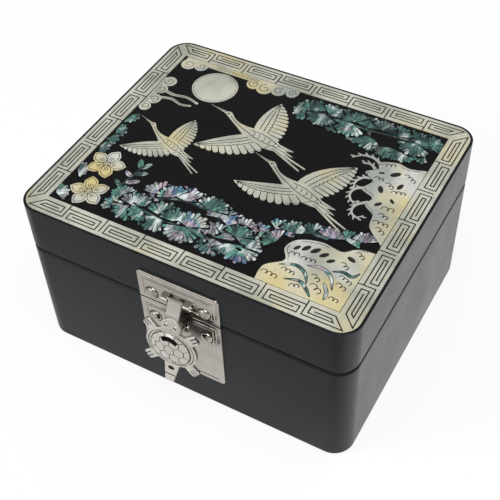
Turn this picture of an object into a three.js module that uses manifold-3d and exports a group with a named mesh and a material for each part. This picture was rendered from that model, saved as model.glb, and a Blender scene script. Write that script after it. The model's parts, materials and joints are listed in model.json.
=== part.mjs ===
// Lacquered jewelry box with a mother-of-pearl lid and a turtle hasp.
// Millimetres, +Z up. The origin is the centre of the resting face, and -Y is the front.

import * as THREE from 'three';
import { mergeVertices } from 'three/addons/utils/BufferGeometryUtils.js';
import Module from 'manifold-3d';

const wasm = await Module();
wasm.setup();

// Wooden box
const boxWidth = 155;
const boxDepth = 130;
const boxHeight = 83.5;
const cornerRadius = 9.5;
const wallThickness = 8.5;
const innerCornerRadius = 0.6;
const rimHeight = 58.8;
const seamGap = 0.3;
const seamRound = 1.5;
const topRound = 0.9;
const footRound = 1;
const boardThickness = 4.2;
const boardInset = 4.5;
const feltThickness = 0.8;
const feltInset = 4;
const fitGap = 0.2;

// Velvet inside the base
const liningThickness = 1.8;
const liningGap = 0.5;
const lipHeight = 3.5;
const dividerThickness = 2.2;
const dividerHeight = 44;
const ringBedWidth = 55;
const ringBedHeight = 28;
const crossDividerY = 7;
const padThickness = 3;
const padCrown = 0.9;
const ringRollCount = 7;
const ringRollHeight = 12.5;
const ringRollGap = 0.5;

// Velvet and mirror inside the lid
const lidLiningThickness = 2;
const lipClearance = 0.8;
const surroundThickness = 3.2;
const surroundLip = 1.6;
const surroundLipThickness = 0.9;
const mirrorWidth = 96;
const mirrorDepth = 72;
const mirrorThickness = 2;

// Mother-of-pearl on the lid
const pearlThickness = 0.3;
const rimWidth = 1.1;
const rimGap = 0.1;
const borderInnerInset = 10.2;
const fretLine = 0.38;
const fretDepths = [3, 4.75, 6.2, 8];
const fretStep = 2;
const fretMitre = 2.8;
const fretInnerMitre = 5.6;
const frontFretUnits = 8;
const sideFretUnits = 6;
const frontCornerShare = 1.17;
const sideCornerShare = 1.22;

// Picture on the lid, drawn on a grid that is fitted to the field
const pictureGap = 0.3;
const pictureColumns = 134;
const pictureRows = 109;
const wingFeathers = 11;
const featherSweep = 0.3;
const featherNotch = 0.2;
const fanLobes = 6;
const fanSpread = 150;
const leafShare = 0.42;
const twigWidth = 1.6;
const blossomPetals = 5;
const hollowShare = 0.5;

// Front plates
const latchX = 2;
const plateWidth = 38.2;
const plateThickness = 1;
const upperPlateTop = 75;
const lowerPlateBottom = 19.8;
const plateSeamGap = 0.5;
const plateCorner = 1.8;
const plateRidgeInset = 2.1;
const plateRidgeWidth = 0.8;
const platePanelInset = 3.7;
const plateRelief = 0.3;
const latchScrewX = 12.3;
const upperScrewZ = 64.6;
const lowerScrewZ = 49.5;
const latchScrewRadius = 2.75;
const latchScrewDome = 1.1;

// Hasp pivot on the upper plate
const haspPivotZ = 66;
const haspPivotOut = 2.3;
const haspPinRadius = 0.7;
const haspBarrelRadius = 1.3;
const haspBarrelWidth = 6.4;
const haspSideGap = 0.3;
const earWidth = 3.4;
const runningGap = 0.08;

// Turtle
const turtleLean = THREE.MathUtils.degToRad(6.6);
const turtleCentreOut = 9.57;
const turtleCentreZ = 44.9;
const turtleSheet = 1;
const shellHalfWidth = 12.2;
const shellHalfHeight = 10.2;
const domeHalfWidth = 9.8;
const domeHalfHeight = 8.7;
const domeHeight = 1.7;
const scutePitch = 4.5;
const scuteGroove = 0.4;
const scuteHeight = 0.4;
const footLength = 6.4;
const footWidth = 4.9;
const footReach = 16.2;
const footAngles = [41, 139, 221, 319];
const toeLine = 0.45;
const headWidth = 9.6;
const headLength = 7.4;
const headThickness = 1.7;
const headLean = THREE.MathUtils.degToRad(19);
const eyeRadius = 1.05;
const tailLean = THREE.MathUtils.degToRad(24);
const tailLength = 8.8;
const tailRootWidth = 8;
const tailTipWidth = 4.2;
const slotRadius = 5.9;
const slotWidth = 2.3;
const slotHalfAngle = THREE.MathUtils.degToRad(38);

// Keeper on the lower plate
const keeperZ = 49.9;
const keeperWidth = 4.8;
const keeperThickness = 1.1;
const keeperReach = 7.4;
const keeperFoot = 8;

// Rear hinges
const hingeEndInset = 32.5;
const hingeWidth = 30;
const hingeLeafHeight = 12;
const hingeLeaf = 1;
const hingeAxisOut = 1.8;
const hingeBarrelRadius = 1.6;
const hingePinRadius = 0.75;
const hingeKnuckleGap = 0.2;
const hingeMiddleKnuckle = 10;
const hingeLeafGap = 0.3;
const hingeScrewX = 9;
const hingeScrewRadius = 2.1;
const hingeScrewDome = 0.8;

// Facet counts
const cornerSteps = 7;
const edgeSteps = 3;
const roundSides = 12;
const domeSteps = 2;

// Derived places
const lidBottom = rimHeight + seamGap;
const fieldZ = boxHeight - pearlThickness;
const lidBoardBottom = fieldZ - boardThickness;
const floorZ = feltThickness + boardThickness;
const columnPitch = (boxWidth - 2 * (borderInnerInset + pictureGap)) / pictureColumns;
const rowPitch = (boxDepth - 2 * (borderInnerInset + pictureGap)) / pictureRows;
const cell = Math.min(columnPitch, rowPitch);
const frontY = -boxDepth / 2;
const backY = boxDepth / 2;
const cavityX = boxWidth / 2 - wallThickness;
const cavityY = boxDepth / 2 - wallThickness;
const liningX = cavityX - liningGap;
const liningY = cavityY - liningGap;
const roomX = liningX - liningThickness;
const roomY = liningY - liningThickness;
const lipTop = rimHeight + lipHeight;
const hingeX = boxWidth / 2 - hingeEndInset;
const hingeZ = rimHeight + seamGap / 2;
const hingeY = backY + hingeAxisOut;

// Materials
const finish = (color, roughness, metalness = 0) => (
  new THREE.MeshStandardMaterial({ color, roughness, metalness })
);
const lacquer = finish(0x17181b, 0.35);
const field = finish(0x08090a, 0.12);
const felt = finish(0x141416, 0.95);
const velvet = finish(0x5a0f1c, 0.9);
const pearl = finish(0xd2cfbd, 0.3);
const warmPearl = finish(0xd8cfa0, 0.3);
const abalone = finish(0x5f9a8c, 0.28);
const nickel = finish(0xc4beb6, 0.35, 0.85);
const glass = finish(0xc9d3d6, 0.04, 0.9);

// Geometry helpers
function signedVolume(positions, index) {
  const [a, b, c] = [new THREE.Vector3(), new THREE.Vector3(), new THREE.Vector3()];
  let volume = 0;
  for (let i = 0; i < index.length; i += 3) {
    a.fromArray(positions, index[i] * 3);
    b.fromArray(positions, index[i + 1] * 3);
    c.fromArray(positions, index[i + 2] * 3);
    volume += a.dot(b.cross(c)) / 6;
  }
  return volume;
}

function fromTriangles(points, triangles) {
  const positions = points.flatMap((p) => [p.x, p.y, p.z]);
  const index = triangles.flat();
  if (signedVolume(positions, index) < 0) {
    for (let i = 0; i < index.length; i += 3) {
      [index[i], index[i + 1]] = [index[i + 1], index[i]];
    }
  }
  const geometry = new THREE.BufferGeometry();
  geometry.setAttribute('position', new THREE.Float32BufferAttribute(positions, 3));
  geometry.setIndex(index);
  return geometry;
}

// Rows of points joined into one skin. A ring joins its last row to its first,
// and any other skin is closed by a fan at each end.
function skin(rows, ring = false) {
  const points = rows.flat();
  const count = rows[0].length;
  const triangles = [];
  const spans = ring ? rows.length : rows.length - 1;
  for (let k = 0; k < spans; k += 1) {
    const here = k * count;
    const there = ((k + 1) % rows.length) * count;
    for (let i = 0; i < count; i += 1) {
      const j = (i + 1) % count;
      triangles.push([here + i, here + j, there + j], [here + i, there + j, there + i]);
    }
  }
  if (!ring) {
    const middle = (row) => row.reduce((sum, p) => sum.add(p), new THREE.Vector3())
      .divideScalar(row.length);
    const last = (rows.length - 1) * count;
    points.push(middle(rows[0]), middle(rows[rows.length - 1]));
    for (let i = 0; i < count; i += 1) {
      const j = (i + 1) % count;
      triangles.push([points.length - 2, j, i]);
      triangles.push([points.length - 1, last + i, last + j]);
    }
  }
  return fromTriangles(points, triangles);
}

function toSolid(geometry) {
  const plain = new THREE.BufferGeometry();
  plain.setAttribute('position', geometry.getAttribute('position'));
  plain.setIndex(geometry.index);
  const merged = mergeVertices(plain, 1e-4);
  const index = merged.index.array;
  const kept = [];
  for (let i = 0; i < index.length; i += 3) {
    const [a, b, c] = [index[i], index[i + 1], index[i + 2]];
    if (a !== b && b !== c && c !== a) {
      kept.push(a, b, c);
    }
  }
  return new wasm.Manifold(new wasm.Mesh({
    numProp: 3,
    vertProperties: new Float32Array(merged.getAttribute('position').array),
    triVerts: new Uint32Array(kept),
  }));
}

function toGeometry(solid) {
  const { vertProperties, triVerts } = solid.getMesh();
  const geometry = new THREE.BufferGeometry();
  geometry.setAttribute('position', new THREE.Float32BufferAttribute(vertProperties, 3));
  geometry.setIndex([...triVerts]);
  return geometry;
}

const joined = (geometries) => geometries.map(toSolid).reduce((sum, next) => sum.add(next));

function cutAway(body, cutters) {
  return cutters.map(toSolid).reduce((left, cutter) => left.subtract(cutter), body);
}

const extrude = (shape, depth, curveSegments = 6) => (
  new THREE.ExtrudeGeometry(shape, { depth, curveSegments, bevelEnabled: false })
);

// Frames that stand a flat outline up: towards the front, the back or along X.
const facing = {
  front: new THREE.Matrix4().makeBasis(
    new THREE.Vector3(1, 0, 0),
    new THREE.Vector3(0, 0, 1),
    new THREE.Vector3(0, -1, 0),
  ),
  back: new THREE.Matrix4().makeBasis(
    new THREE.Vector3(-1, 0, 0),
    new THREE.Vector3(0, 0, 1),
    new THREE.Vector3(0, 1, 0),
  ),
  side: new THREE.Matrix4().makeBasis(
    new THREE.Vector3(0, 1, 0),
    new THREE.Vector3(0, 0, 1),
    new THREE.Vector3(1, 0, 0),
  ),
};

const box = (x0, x1, y0, y1, z0, z1) => (
  new THREE.BoxGeometry(x1 - x0, y1 - y0, z1 - z0)
    .translate((x0 + x1) / 2, (y0 + y1) / 2, (z0 + z1) / 2)
);

// Cylinder along X with its facets clear of the stated radius when it is a bore.
function rod(radius, x0, x1, isBore = false) {
  const reach = isBore ? radius / Math.cos(Math.PI / roundSides) : radius;
  return new THREE.CylinderGeometry(reach, reach, x1 - x0, roundSides)
    .rotateZ(Math.PI / 2)
    .translate((x0 + x1) / 2, 0, 0);
}

function roundedLoop(width, depth, radius, steps = cornerSteps) {
  const signs = [[1, 1], [-1, 1], [-1, -1], [1, -1]];
  return signs.flatMap(([signX, signY], quarter) => (
    Array.from({ length: steps + 1 }, (_, i) => {
      const angle = (quarter + i / steps) * (Math.PI / 2);
      return new THREE.Vector2(
        signX * (width / 2 - radius) + radius * Math.cos(angle),
        signY * (depth / 2 - radius) + radius * Math.sin(angle),
      );
    })
  ));
}

const roundedShape = (width, depth, radius, steps = cornerSteps) => (
  new THREE.Shape(roundedLoop(width, depth, radius, steps))
);

// A closed profile of [inset from the outer wall, z] carried round the box.
function wallRing(profile) {
  const rows = profile.map(([inset, z]) => {
    const radius = Math.max(cornerRadius - inset, innerCornerRadius);
    return roundedLoop(boxWidth - 2 * inset, boxDepth - 2 * inset, radius)
      .map((p) => new THREE.Vector3(p.x, p.y, z));
  });
  return skin(rows, true);
}

// Quarter round between two directions of a profile, as [inset, z] points.
function roundCorner(insetCentre, zCentre, radius, fromAngle, toAngle) {
  return Array.from({ length: edgeSteps + 1 }, (_, i) => {
    const angle = THREE.MathUtils.lerp(fromAngle, toAngle, i / edgeSteps);
    return [insetCentre - radius * Math.cos(angle), zCentre + radius * Math.sin(angle)];
  });
}

// Outline of a line drawn with a pen of the given width, with mitred corners.
function penOutline(points, width) {
  const left = [];
  const right = [];
  points.forEach((point, i) => {
    const arriving = point.clone().sub(points[Math.max(i - 1, 0)]);
    const leaving = points[Math.min(i + 1, points.length - 1)].clone().sub(point);
    const first = (arriving.lengthSq() > 0 ? arriving : leaving).clone().normalize();
    const second = (leaving.lengthSq() > 0 ? leaving : arriving).clone().normalize();
    const along = first.clone().add(second).normalize();
    const across = new THREE.Vector2(-along.y, along.x);
    const reach = width / 2 / Math.max(across.dot(new THREE.Vector2(-first.y, first.x)), 0.3);
    left.push(point.clone().addScaledVector(across, reach));
    right.push(point.clone().addScaledVector(across, -reach));
  });
  return new THREE.Shape([...left, ...right.reverse()]);
}

function mesh(name, shape, material) {
  const geometry = shape instanceof wasm.Manifold ? toGeometry(shape) : shape;
  geometry.computeVertexNormals();
  const node = new THREE.Mesh(geometry, material);
  node.name = name;
  return node;
}

// Wooden frames and boards
function baseFrame() {
  const bottom = feltThickness;
  return wallRing([
    ...roundCorner(footRound, bottom + footRound, footRound, -Math.PI / 2, 0),
    ...roundCorner(seamRound, rimHeight - seamRound, seamRound, 0, Math.PI / 2),
    [wallThickness, rimHeight],
    [wallThickness, floorZ],
    [boardInset, floorZ],
    [boardInset, bottom],
  ]);
}

function lidFrame() {
  return wallRing([
    ...roundCorner(seamRound, lidBottom + seamRound, seamRound, -Math.PI / 2, 0),
    ...roundCorner(topRound, boxHeight - topRound, topRound, 0, Math.PI / 2),
    [rimWidth, boxHeight],
    [rimWidth, fieldZ],
    [boardInset, fieldZ],
    [boardInset, lidBoardBottom],
    [wallThickness, lidBoardBottom],
    [wallThickness, lidBottom],
  ]);
}

function insetBoard(inset, bottom, top) {
  const radius = Math.max(cornerRadius - inset, innerCornerRadius);
  const shape = roundedShape(boxWidth - 2 * inset, boxDepth - 2 * inset, radius);
  return extrude(shape, top - bottom).translate(0, 0, bottom);
}

// Velvet-covered board standing on the floor, with a rounded top edge. It runs along X.
function standingBoard(length, thickness, bottom, top) {
  const half = thickness / 2;
  const section = new THREE.Shape();
  section.moveTo(-half, bottom);
  section.lineTo(half, bottom);
  section.lineTo(half, top - half);
  section.absarc(0, top - half, half, 0, Math.PI, false);
  section.closePath();
  return extrude(section, length).applyMatrix4(facing.side).translate(-length / 2, 0, 0);
}

// Padded floor with a crowned top and drawn-in lower edge.
function floorPad(width, depth) {
  const stations = [
    [0.99, 0],
    [1, 0.35],
    [0.995, 0.7],
    [0.975, 0.92],
    [0.9, 1.02],
    [0.7, 1.1],
    [0.4, 1.2],
  ];
  const rows = stations.map(([share, level]) => {
    const height = Math.min(level, 1) * (padThickness - padCrown)
      + Math.max(level - 1, 0) * 5 * padCrown;
    return roundedLoop(width * share, depth * share, 3 * share, 3)
      .map((p) => new THREE.Vector3(p.x, p.y, height));
  });
  return skin(rows);
}

// Padded roll lying along X on z = 0, flat below and drawn in at its ends.
function ringRoll(length, width, height) {
  const sides = 14;
  const ends = [0.62, 0.86, 0.97, 1];
  const reach = [0, 0.012, 0.04, 0.09];
  const stations = ends.map((share, i) => [share, reach[i]]);
  const mirrored = stations.map(([share, at]) => [share, 1 - at]).reverse();
  const rows = [...stations, ...mirrored].map(([share, at]) => (
    Array.from({ length: sides }, (_, i) => {
      const angle = (2 * Math.PI * (i + 0.5)) / sides;
      const y = (width / 2) * share * Math.cos(angle);
      const z = (height / 2) * (1 + share * Math.sin(angle));
      const floor = (height / 2) * (1 - share) * 0.9;
      return new THREE.Vector3((at - 0.5) * length, y, Math.max(z, floor) - 0);
    })
  ));
  const roll = skin(rows);
  roll.computeBoundingBox();
  return roll.translate(0, 0, -roll.boundingBox.min.z);
}

// Lid interior
function lidLining() {
  const outer = wallThickness + fitGap;
  const inner = outer + lidLiningThickness;
  const low = lipTop + lipClearance;
  const high = lidBoardBottom - surroundThickness;
  return wallRing([
    [outer, low + 0.4],
    [outer + 0.4, low],
    [inner - 0.4, low],
    [inner, low + 0.4],
    [inner, high],
    [outer, high],
  ]);
}

function mirrorSurround() {
  const width = 2 * (cavityX - fitGap);
  const depth = 2 * (cavityY - fitGap);
  const bottom = lidBoardBottom - surroundThickness;
  const panel = toSolid(
    extrude(roundedShape(width, depth, innerCornerRadius), surroundThickness)
      .translate(0, 0, bottom),
  );
  const seat = roundedShape(mirrorWidth + 2 * fitGap, mirrorDepth + 2 * fitGap, 4);
  const sight = roundedShape(mirrorWidth - 2 * surroundLip, mirrorDepth - 2 * surroundLip, 3);
  return cutAway(panel, [
    extrude(seat, surroundThickness).translate(0, 0, bottom + surroundLipThickness),
    extrude(sight, surroundThickness).translate(0, 0, bottom - 1),
  ]);
}

function mirrorGlass() {
  const bottom = lidBoardBottom - surroundThickness + surroundLipThickness;
  return extrude(roundedShape(mirrorWidth, mirrorDepth, 3.8), mirrorThickness)
    .translate(0, 0, bottom);
}

// Key fret of the border. Each pair of units is one line: a spiral that ends on the shared
// divider, and its half-turn copy that leaves from the divider's other end.
function fretPair(start, unit, corner) {
  const [d1, d2, d3, d4] = fretDepths;
  const at = (u, d) => new THREE.Vector2(u, d);
  const shared = corner ?? start + unit;
  const outerEnd = (d) => (corner ? d + fretMitre : start + fretStep);
  const innerEnd = (d) => (corner ? d + fretInnerMitre : start + 2 * fretStep);
  const far = shared + unit;
  return [
    [
      at(shared - 2 * fretStep, d3),
      at(innerEnd(d3), d3),
      at(innerEnd(d2), d2),
      at(shared - fretStep, d2),
      at(shared - fretStep, d4),
      at(outerEnd(d4), d4),
      at(outerEnd(d1), d1),
      at(shared, d1),
      at(shared, borderInnerInset + 1),
    ],
    [
      at(shared, d4),
      at(far - fretStep, d4),
      at(far - fretStep, d1),
      at(shared + fretStep, d1),
      at(shared + fretStep, d3),
      at(far - 2 * fretStep, d3),
      at(far - 2 * fretStep, d2),
      at(shared + 2 * fretStep, d2),
    ],
    [
      at(far, d1),
      at(far, borderInnerInset + 1),
    ],
  ];
}

// Lines of one side, as [distance along the side, depth from the wall]. The far half mirrors
// the near half, and the middle divider isn't drawn twice.
function fretSide(length, units, cornerShare) {
  const corner = (cornerShare * length) / units;
  const unit = (length - 2 * corner) / (units - 2);
  const pairs = units / 2;
  const near = Math.ceil(pairs / 2);
  const flip = (p) => new THREE.Vector2(length - p.x, p.y);
  const lines = [];
  for (let i = 0; i < near; i += 1) {
    lines.push(...(i === 0
      ? fretPair(0, unit, corner)
      : fretPair(corner + (2 * i - 1) * unit, unit)));
  }
  for (let i = 0; i < pairs - near; i += 1) {
    const mirrored = i === 0
      ? fretPair(0, unit, corner)
      : fretPair(corner + (2 * i - 1) * unit, unit);
    const kept = i === pairs - near - 1 ? mirrored.slice(0, 2) : mirrored;
    lines.push(...kept.map((line) => line.map(flip).reverse()));
  }
  return lines;
}

function pearlBorder() {
  const inset = rimWidth + rimGap;
  const outline = roundedShape(
    boxWidth - 2 * inset,
    boxDepth - 2 * inset,
    cornerRadius - inset,
  );
  const width = boxWidth - 2 * borderInnerInset;
  const depth = boxDepth - 2 * borderInnerInset;
  outline.holes.push(new THREE.Path([
    new THREE.Vector2(-width / 2, -depth / 2),
    new THREE.Vector2(-width / 2, depth / 2),
    new THREE.Vector2(width / 2, depth / 2),
    new THREE.Vector2(width / 2, -depth / 2),
  ]));
  const sides = [
    [boxWidth, boxDepth, frontFretUnits, frontCornerShare, 0],
    [boxDepth, boxWidth, sideFretUnits, sideCornerShare, Math.PI / 2],
    [boxWidth, boxDepth, frontFretUnits, frontCornerShare, Math.PI],
    [boxDepth, boxWidth, sideFretUnits, sideCornerShare, -Math.PI / 2],
  ];
  const cutters = sides.flatMap(([length, across, units, cornerShare, turn]) => (
    fretSide(length, units, cornerShare).map((line) => (
      extrude(penOutline(line, fretLine), pearlThickness + 2)
        .translate(-length / 2, -across / 2, fieldZ - 1)
        .rotateZ(turn)
    ))
  ));
  const sheet = toSolid(extrude(outline, pearlThickness).translate(0, 0, fieldZ));
  return cutAway(sheet, cutters);
}

// Inlaid figures, drawn in cells of the picture's grid. The cranes, blossoms and the moon are
// drawn about their own middle, and the rest where it lies on the grid.
const at2 = (x, y) => new THREE.Vector2(x, y);
const onGrid = ([column, row]) => at2(column * columnPitch, row * rowPitch);
const bezier = (points) => new THREE.CubicBezierCurve(...points.map(([x, y]) => at2(x, y)));

const sheetOf = (shapes, steps = 4) => (
  joined(shapes.map((shape) => extrude(shape, pearlThickness, steps)))
);

// Wing from its shoulder along the leading edge to the tip, and back along the feather tips.
function wingShape([leading, trailing]) {
  const front = bezier(leading);
  const rear = bezier(trailing);
  const points = front.getPoints(5);
  for (let i = 1; i < wingFeathers; i += 1) {
    const notch = rear.getPoint(i / wingFeathers);
    points.push(notch.lerp(front.getPoint(1 - i / wingFeathers), featherNotch));
    points.push(rear.getPoint((i + featherSweep) / wingFeathers));
  }
  points.push(rear.getPoint(1));
  return new THREE.Shape(points);
}

// Flying crane that heads towards -X.
function crane(wings) {
  const body = new THREE.Shape([
    at2(-35, 9.5),
    at2(-24.6, 8.4),
    at2(-22.6, 9),
    ...bezier([[-20.6, 8], [-16, 3.6], [-11, 3.4], [-5, 4.4]]).getPoints(5),
    ...bezier([[-5, 4.4], [0, 5.4], [7, 4], [12, 0.6]]).getPoints(4).slice(1),
    at2(21, -0.6),
    at2(16.5, -2.2),
    at2(22.5, -4),
    at2(16.5, -4.4),
    at2(20, -7.4),
    ...bezier([[12.5, -4.8], [6, -6.6], [-4, -5.6], [-10, -1.2]]).getPoints(4),
    ...bezier([[-10, -1.2], [-14, 1.4], [-18, 3.2], [-22, 5.6]]).getPoints(4).slice(1),
    at2(-24.8, 7),
  ]);
  const legs = [0, 1].map((i) => penOutline([
    at2(12, -3.2 - i),
    at2(23, -6.4 - 2 * i),
    at2(32 - 2 * i, -8.4 - 2.6 * i),
  ], 0.9));
  return sheetOf([body, ...legs, ...wings.map(wingShape)]);
}

// Scalloped fan of pine needles that opens about its root.
function pineFan([column, row, radius, direction]) {
  const root = onGrid([column, row]);
  const reach = radius * cell;
  const points = [root];
  for (let i = 0; i <= 2 * fanLobes; i += 1) {
    const angle = THREE.MathUtils.degToRad(direction + fanSpread * (i / (2 * fanLobes) - 0.5));
    const share = i % 2 === 1 ? 1 : 0.86;
    points.push(at2(Math.cos(angle), Math.sin(angle)).multiplyScalar(reach * share).add(root));
  }
  return new THREE.Shape(points);
}

// Oval leaf that points away from its root.
function leaf([column, row, length, direction]) {
  const root = onGrid([column, row]);
  const angle = THREE.MathUtils.degToRad(direction);
  const half = (length * cell) / 2;
  const middle = at2(Math.cos(angle), Math.sin(angle)).multiplyScalar(half).add(root);
  return new THREE.Shape()
    .absellipse(middle.x, middle.y, half, half * leafShare, 0, 2 * Math.PI, false, angle);
}

const twigs = (lines) => lines.map((line) => penOutline(line.map(onGrid), twigWidth * cell));

const pineSpray = (lines, fans, leaves = []) => sheetOf([
  ...twigs(lines),
  ...fans.map((fan) => pineFan(fan)),
  ...leaves.map((spec) => leaf(spec)),
], 3);

function blossom() {
  const petals = Array.from({ length: blossomPetals }, (_, i) => {
    const angle = (2 * Math.PI * i) / blossomPetals;
    const spot = (along, across) => at2(along, across).rotateAround(at2(0, 0), angle);
    return new THREE.Shape([
      spot(0, -1.2), spot(4.6, -3), spot(7.4, -2.2), spot(9, 0), spot(7.4, 2.2), spot(4.6, 3),
      spot(0, 1.2),
    ]);
  });
  return sheetOf(petals);
}

// Cloud bank: puffs joined by streamers.
const cloud = (puffs, streamers) => sheetOf([
  ...puffs.map(([column, row, radius]) => {
    const middle = onGrid([column, row]);
    return new THREE.Shape().absarc(middle.x, middle.y, radius * cell, 0, 2 * Math.PI, false);
  }),
  ...streamers.map(([width, ...line]) => (
    penOutline(new THREE.SplineCurve(line.map(onGrid)).getPoints(line.length * 2), width * cell)
  )),
], 5);

// Crag with one free edge, its other sides along the border, and holes worn through.
function crag(edge, corners, hollows) {
  const curve = new THREE.SplineCurve(edge.map(onGrid));
  const shape = new THREE.Shape([
    ...curve.getPoints(edge.length * 2),
    ...corners.map(onGrid),
  ]);
  hollows.forEach(([column, row, length, direction]) => {
    const middle = onGrid([column, row]);
    shape.holes.push(new THREE.Path().absellipse(
      middle.x,
      middle.y,
      (length * cell) / 2,
      (length * cell * hollowShare) / 2,
      0,
      2 * Math.PI,
      true,
      THREE.MathUtils.degToRad(direction),
    ));
  });
  return sheetOf([shape], 3);
}

function inlay(name, sheet, material) {
  const node = mesh(name, sheet, material);
  node.position.z = fieldZ;
  return node;
}

function inlayAt(name, sheet, material, column, row, turn = 0, size = 1) {
  const node = inlay(name, sheet, material);
  const place = onGrid([column, row]);
  node.geometry.scale(size * cell, size * cell, 1).rotateZ(THREE.MathUtils.degToRad(turn));
  node.position.set(place.x, place.y, fieldZ);
  return node;
}

// Latch plates
function embossedPlate(bottom, top, cornersAtTop) {
  const height = top - bottom;
  const centre = (top + bottom) / 2;
  const plate = (inset, depth, radius) => (
    extrude(roundedShape(plateWidth - 2 * inset, height - 2 * inset, radius, 4), depth)
      .translate(0, centre, 0)
  );
  const square = box(
    -plateWidth / 2,
    plateWidth / 2,
    cornersAtTop ? bottom : centre,
    cornersAtTop ? centre : top,
    0,
    plateThickness,
  );
  const ridge = toSolid(plate(plateRidgeInset, plateThickness + plateRelief, 0.6))
    .subtract(toSolid(
      plate(plateRidgeInset + plateRidgeWidth, plateThickness * 4, 0.3).translate(0, 0, -1),
    ));
  return joined([plate(0, plateThickness, plateCorner), square])
    .add(ridge)
    .add(toSolid(plate(platePanelInset, plateThickness + plateRelief, 0.4)));
}

const onFront = (solid) => toGeometry(solid)
  .applyMatrix4(facing.front)
  .translate(latchX, frontY, 0);

const screwHole = (x, z, radius) => (
  new THREE.CylinderGeometry(radius, radius, 8, roundSides)
    .rotateX(Math.PI / 2)
    .translate(x, z, 0)
);

function upperPlate() {
  const bottom = lidBottom + plateSeamGap / 2;
  const earStart = haspBarrelWidth / 2 + haspSideGap;
  const ears = [-1, 1].flatMap((side) => {
    const [near, far] = [side * earStart, side * (earStart + earWidth)].sort((a, b) => a - b);
    return [
      rod(haspBarrelRadius + 0.2, near, far).translate(0, haspPivotZ, haspPivotOut),
      box(near, far, haspPivotZ - 1.2, haspPivotZ + 1.2, 0.2, haspPivotOut),
    ];
  });
  const window = box(
    -earStart,
    earStart,
    haspPivotZ - 2.6,
    haspPivotZ + 2.4,
    -1,
    plateThickness + 1,
  );
  const pinBore = rod(haspPinRadius + runningGap, -plateWidth / 4, plateWidth / 4, true)
    .translate(0, haspPivotZ, haspPivotOut);
  const body = embossedPlate(bottom, upperPlateTop, true).add(joined(ears));
  const holes = [-latchScrewX, latchScrewX].map((x) => (
    screwHole(x, upperScrewZ, latchScrewRadius * 0.6)
  ));
  return onFront(cutAway(body, [window, pinBore, ...holes]));
}

function lowerPlate() {
  const top = rimHeight - plateSeamGap / 2;
  const holes = [-latchScrewX, latchScrewX].map((x) => (
    screwHole(x, lowerScrewZ, latchScrewRadius * 0.6)
  ));
  return onFront(cutAway(embossedPlate(lowerPlateBottom, top, false), holes));
}

// Domed screw. Its neck fills the plate's hole and ends at the wood.
function screw(radius, dome, plateFace, isCrossCut) {
  const neck = radius * 0.6 - 0.1;
  const profile = [at2(0, -plateFace + 0.05), at2(neck, -plateFace + 0.05), at2(neck, 0)];
  for (let i = 0; i <= domeSteps; i += 1) {
    const angle = (i / domeSteps) * (Math.PI / 2);
    profile.push(at2(radius * Math.cos(angle), 0.25 + dome * Math.sin(angle)));
  }
  profile.splice(3, 0, at2(radius, 0));
  const head = toSolid(new THREE.LatheGeometry(profile, roundSides).rotateX(Math.PI / 2));
  const slots = (isCrossCut ? [0, Math.PI / 2] : []).map((turn) => (
    new THREE.BoxGeometry(radius * 1.1, radius * 0.26, dome)
      .rotateZ(turn + Math.PI / 4)
      .translate(0, 0, 0.25 + dome * 0.9)
  ));
  return toGeometry(cutAway(head, slots));
}

function frontScrew(name, side, z) {
  const geometry = screw(latchScrewRadius, latchScrewDome, plateThickness + plateRelief, true)
    .applyMatrix4(facing.front)
    .translate(
      latchX + side * latchScrewX,
      frontY - plateThickness - plateRelief,
      z,
    );
  return mesh(name, geometry, nickel);
}

function keeper() {
  const face = plateThickness + plateRelief;
  const tongue = box(
    -keeperWidth / 2,
    keeperWidth / 2,
    keeperZ - keeperThickness / 2,
    keeperZ + keeperThickness / 2,
    face,
    keeperReach,
  );
  const foot = box(
    -keeperFoot / 2,
    keeperFoot / 2,
    keeperZ - keeperThickness * 1.6,
    keeperZ + keeperThickness * 1.6,
    face,
    face + 0.8,
  );
  return onFront(joined([tongue, foot]));
}

function haspPin() {
  const reach = haspBarrelWidth / 2 + haspSideGap + earWidth + 0.3;
  return onFront(toSolid(
    rod(haspPinRadius, -reach, reach).translate(0, haspPivotZ, haspPivotOut),
  ));
}

// Turtle hasp, drawn in the front plane's frame: x across, y up and z out from the wall.
function leaning(solid, lean, out, z) {
  const turned = new THREE.Matrix4().makeRotationX(-lean);
  turned.setPosition(0, z, out);
  return toSolid(toGeometry(solid).applyMatrix4(turned));
}

const ellipseShape = (halfWidth, halfHeight) => (
  new THREE.Shape().absellipse(0, 0, halfWidth, halfHeight, 0, 2 * Math.PI, false, 0)
);

function turtleScutes() {
  const apothem = (scutePitch - scuteGroove) / 2;
  const scuteRowPitch = (scutePitch * Math.sqrt(3)) / 2;
  const radius = apothem / Math.cos(Math.PI / 6);
  const tiles = [];
  for (let row = -2; row <= 2; row += 1) {
    for (let column = -3; column <= 3; column += 1) {
      const x = (column + (Math.abs(row) % 2) / 2) * scutePitch;
      const y = row * scuteRowPitch;
      const share = (x / domeHalfWidth) ** 2 + (y / domeHalfHeight) ** 2;
      if (share < 0.93) {
        const level = domeHeight * Math.sqrt(1 - share);
        const tile = new THREE.CylinderGeometry(
          radius * 0.92,
          radius,
          scuteHeight + level,
          6,
        );
        tiles.push(tile.rotateX(Math.PI / 2).translate(x, y, (scuteHeight + level) / 2));
      }
    }
  }
  const bound = toSolid(
    extrude(ellipseShape(domeHalfWidth - 0.3, domeHalfHeight - 0.3), 8, 28),
  );
  return joined(tiles).intersect(bound);
}

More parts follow.
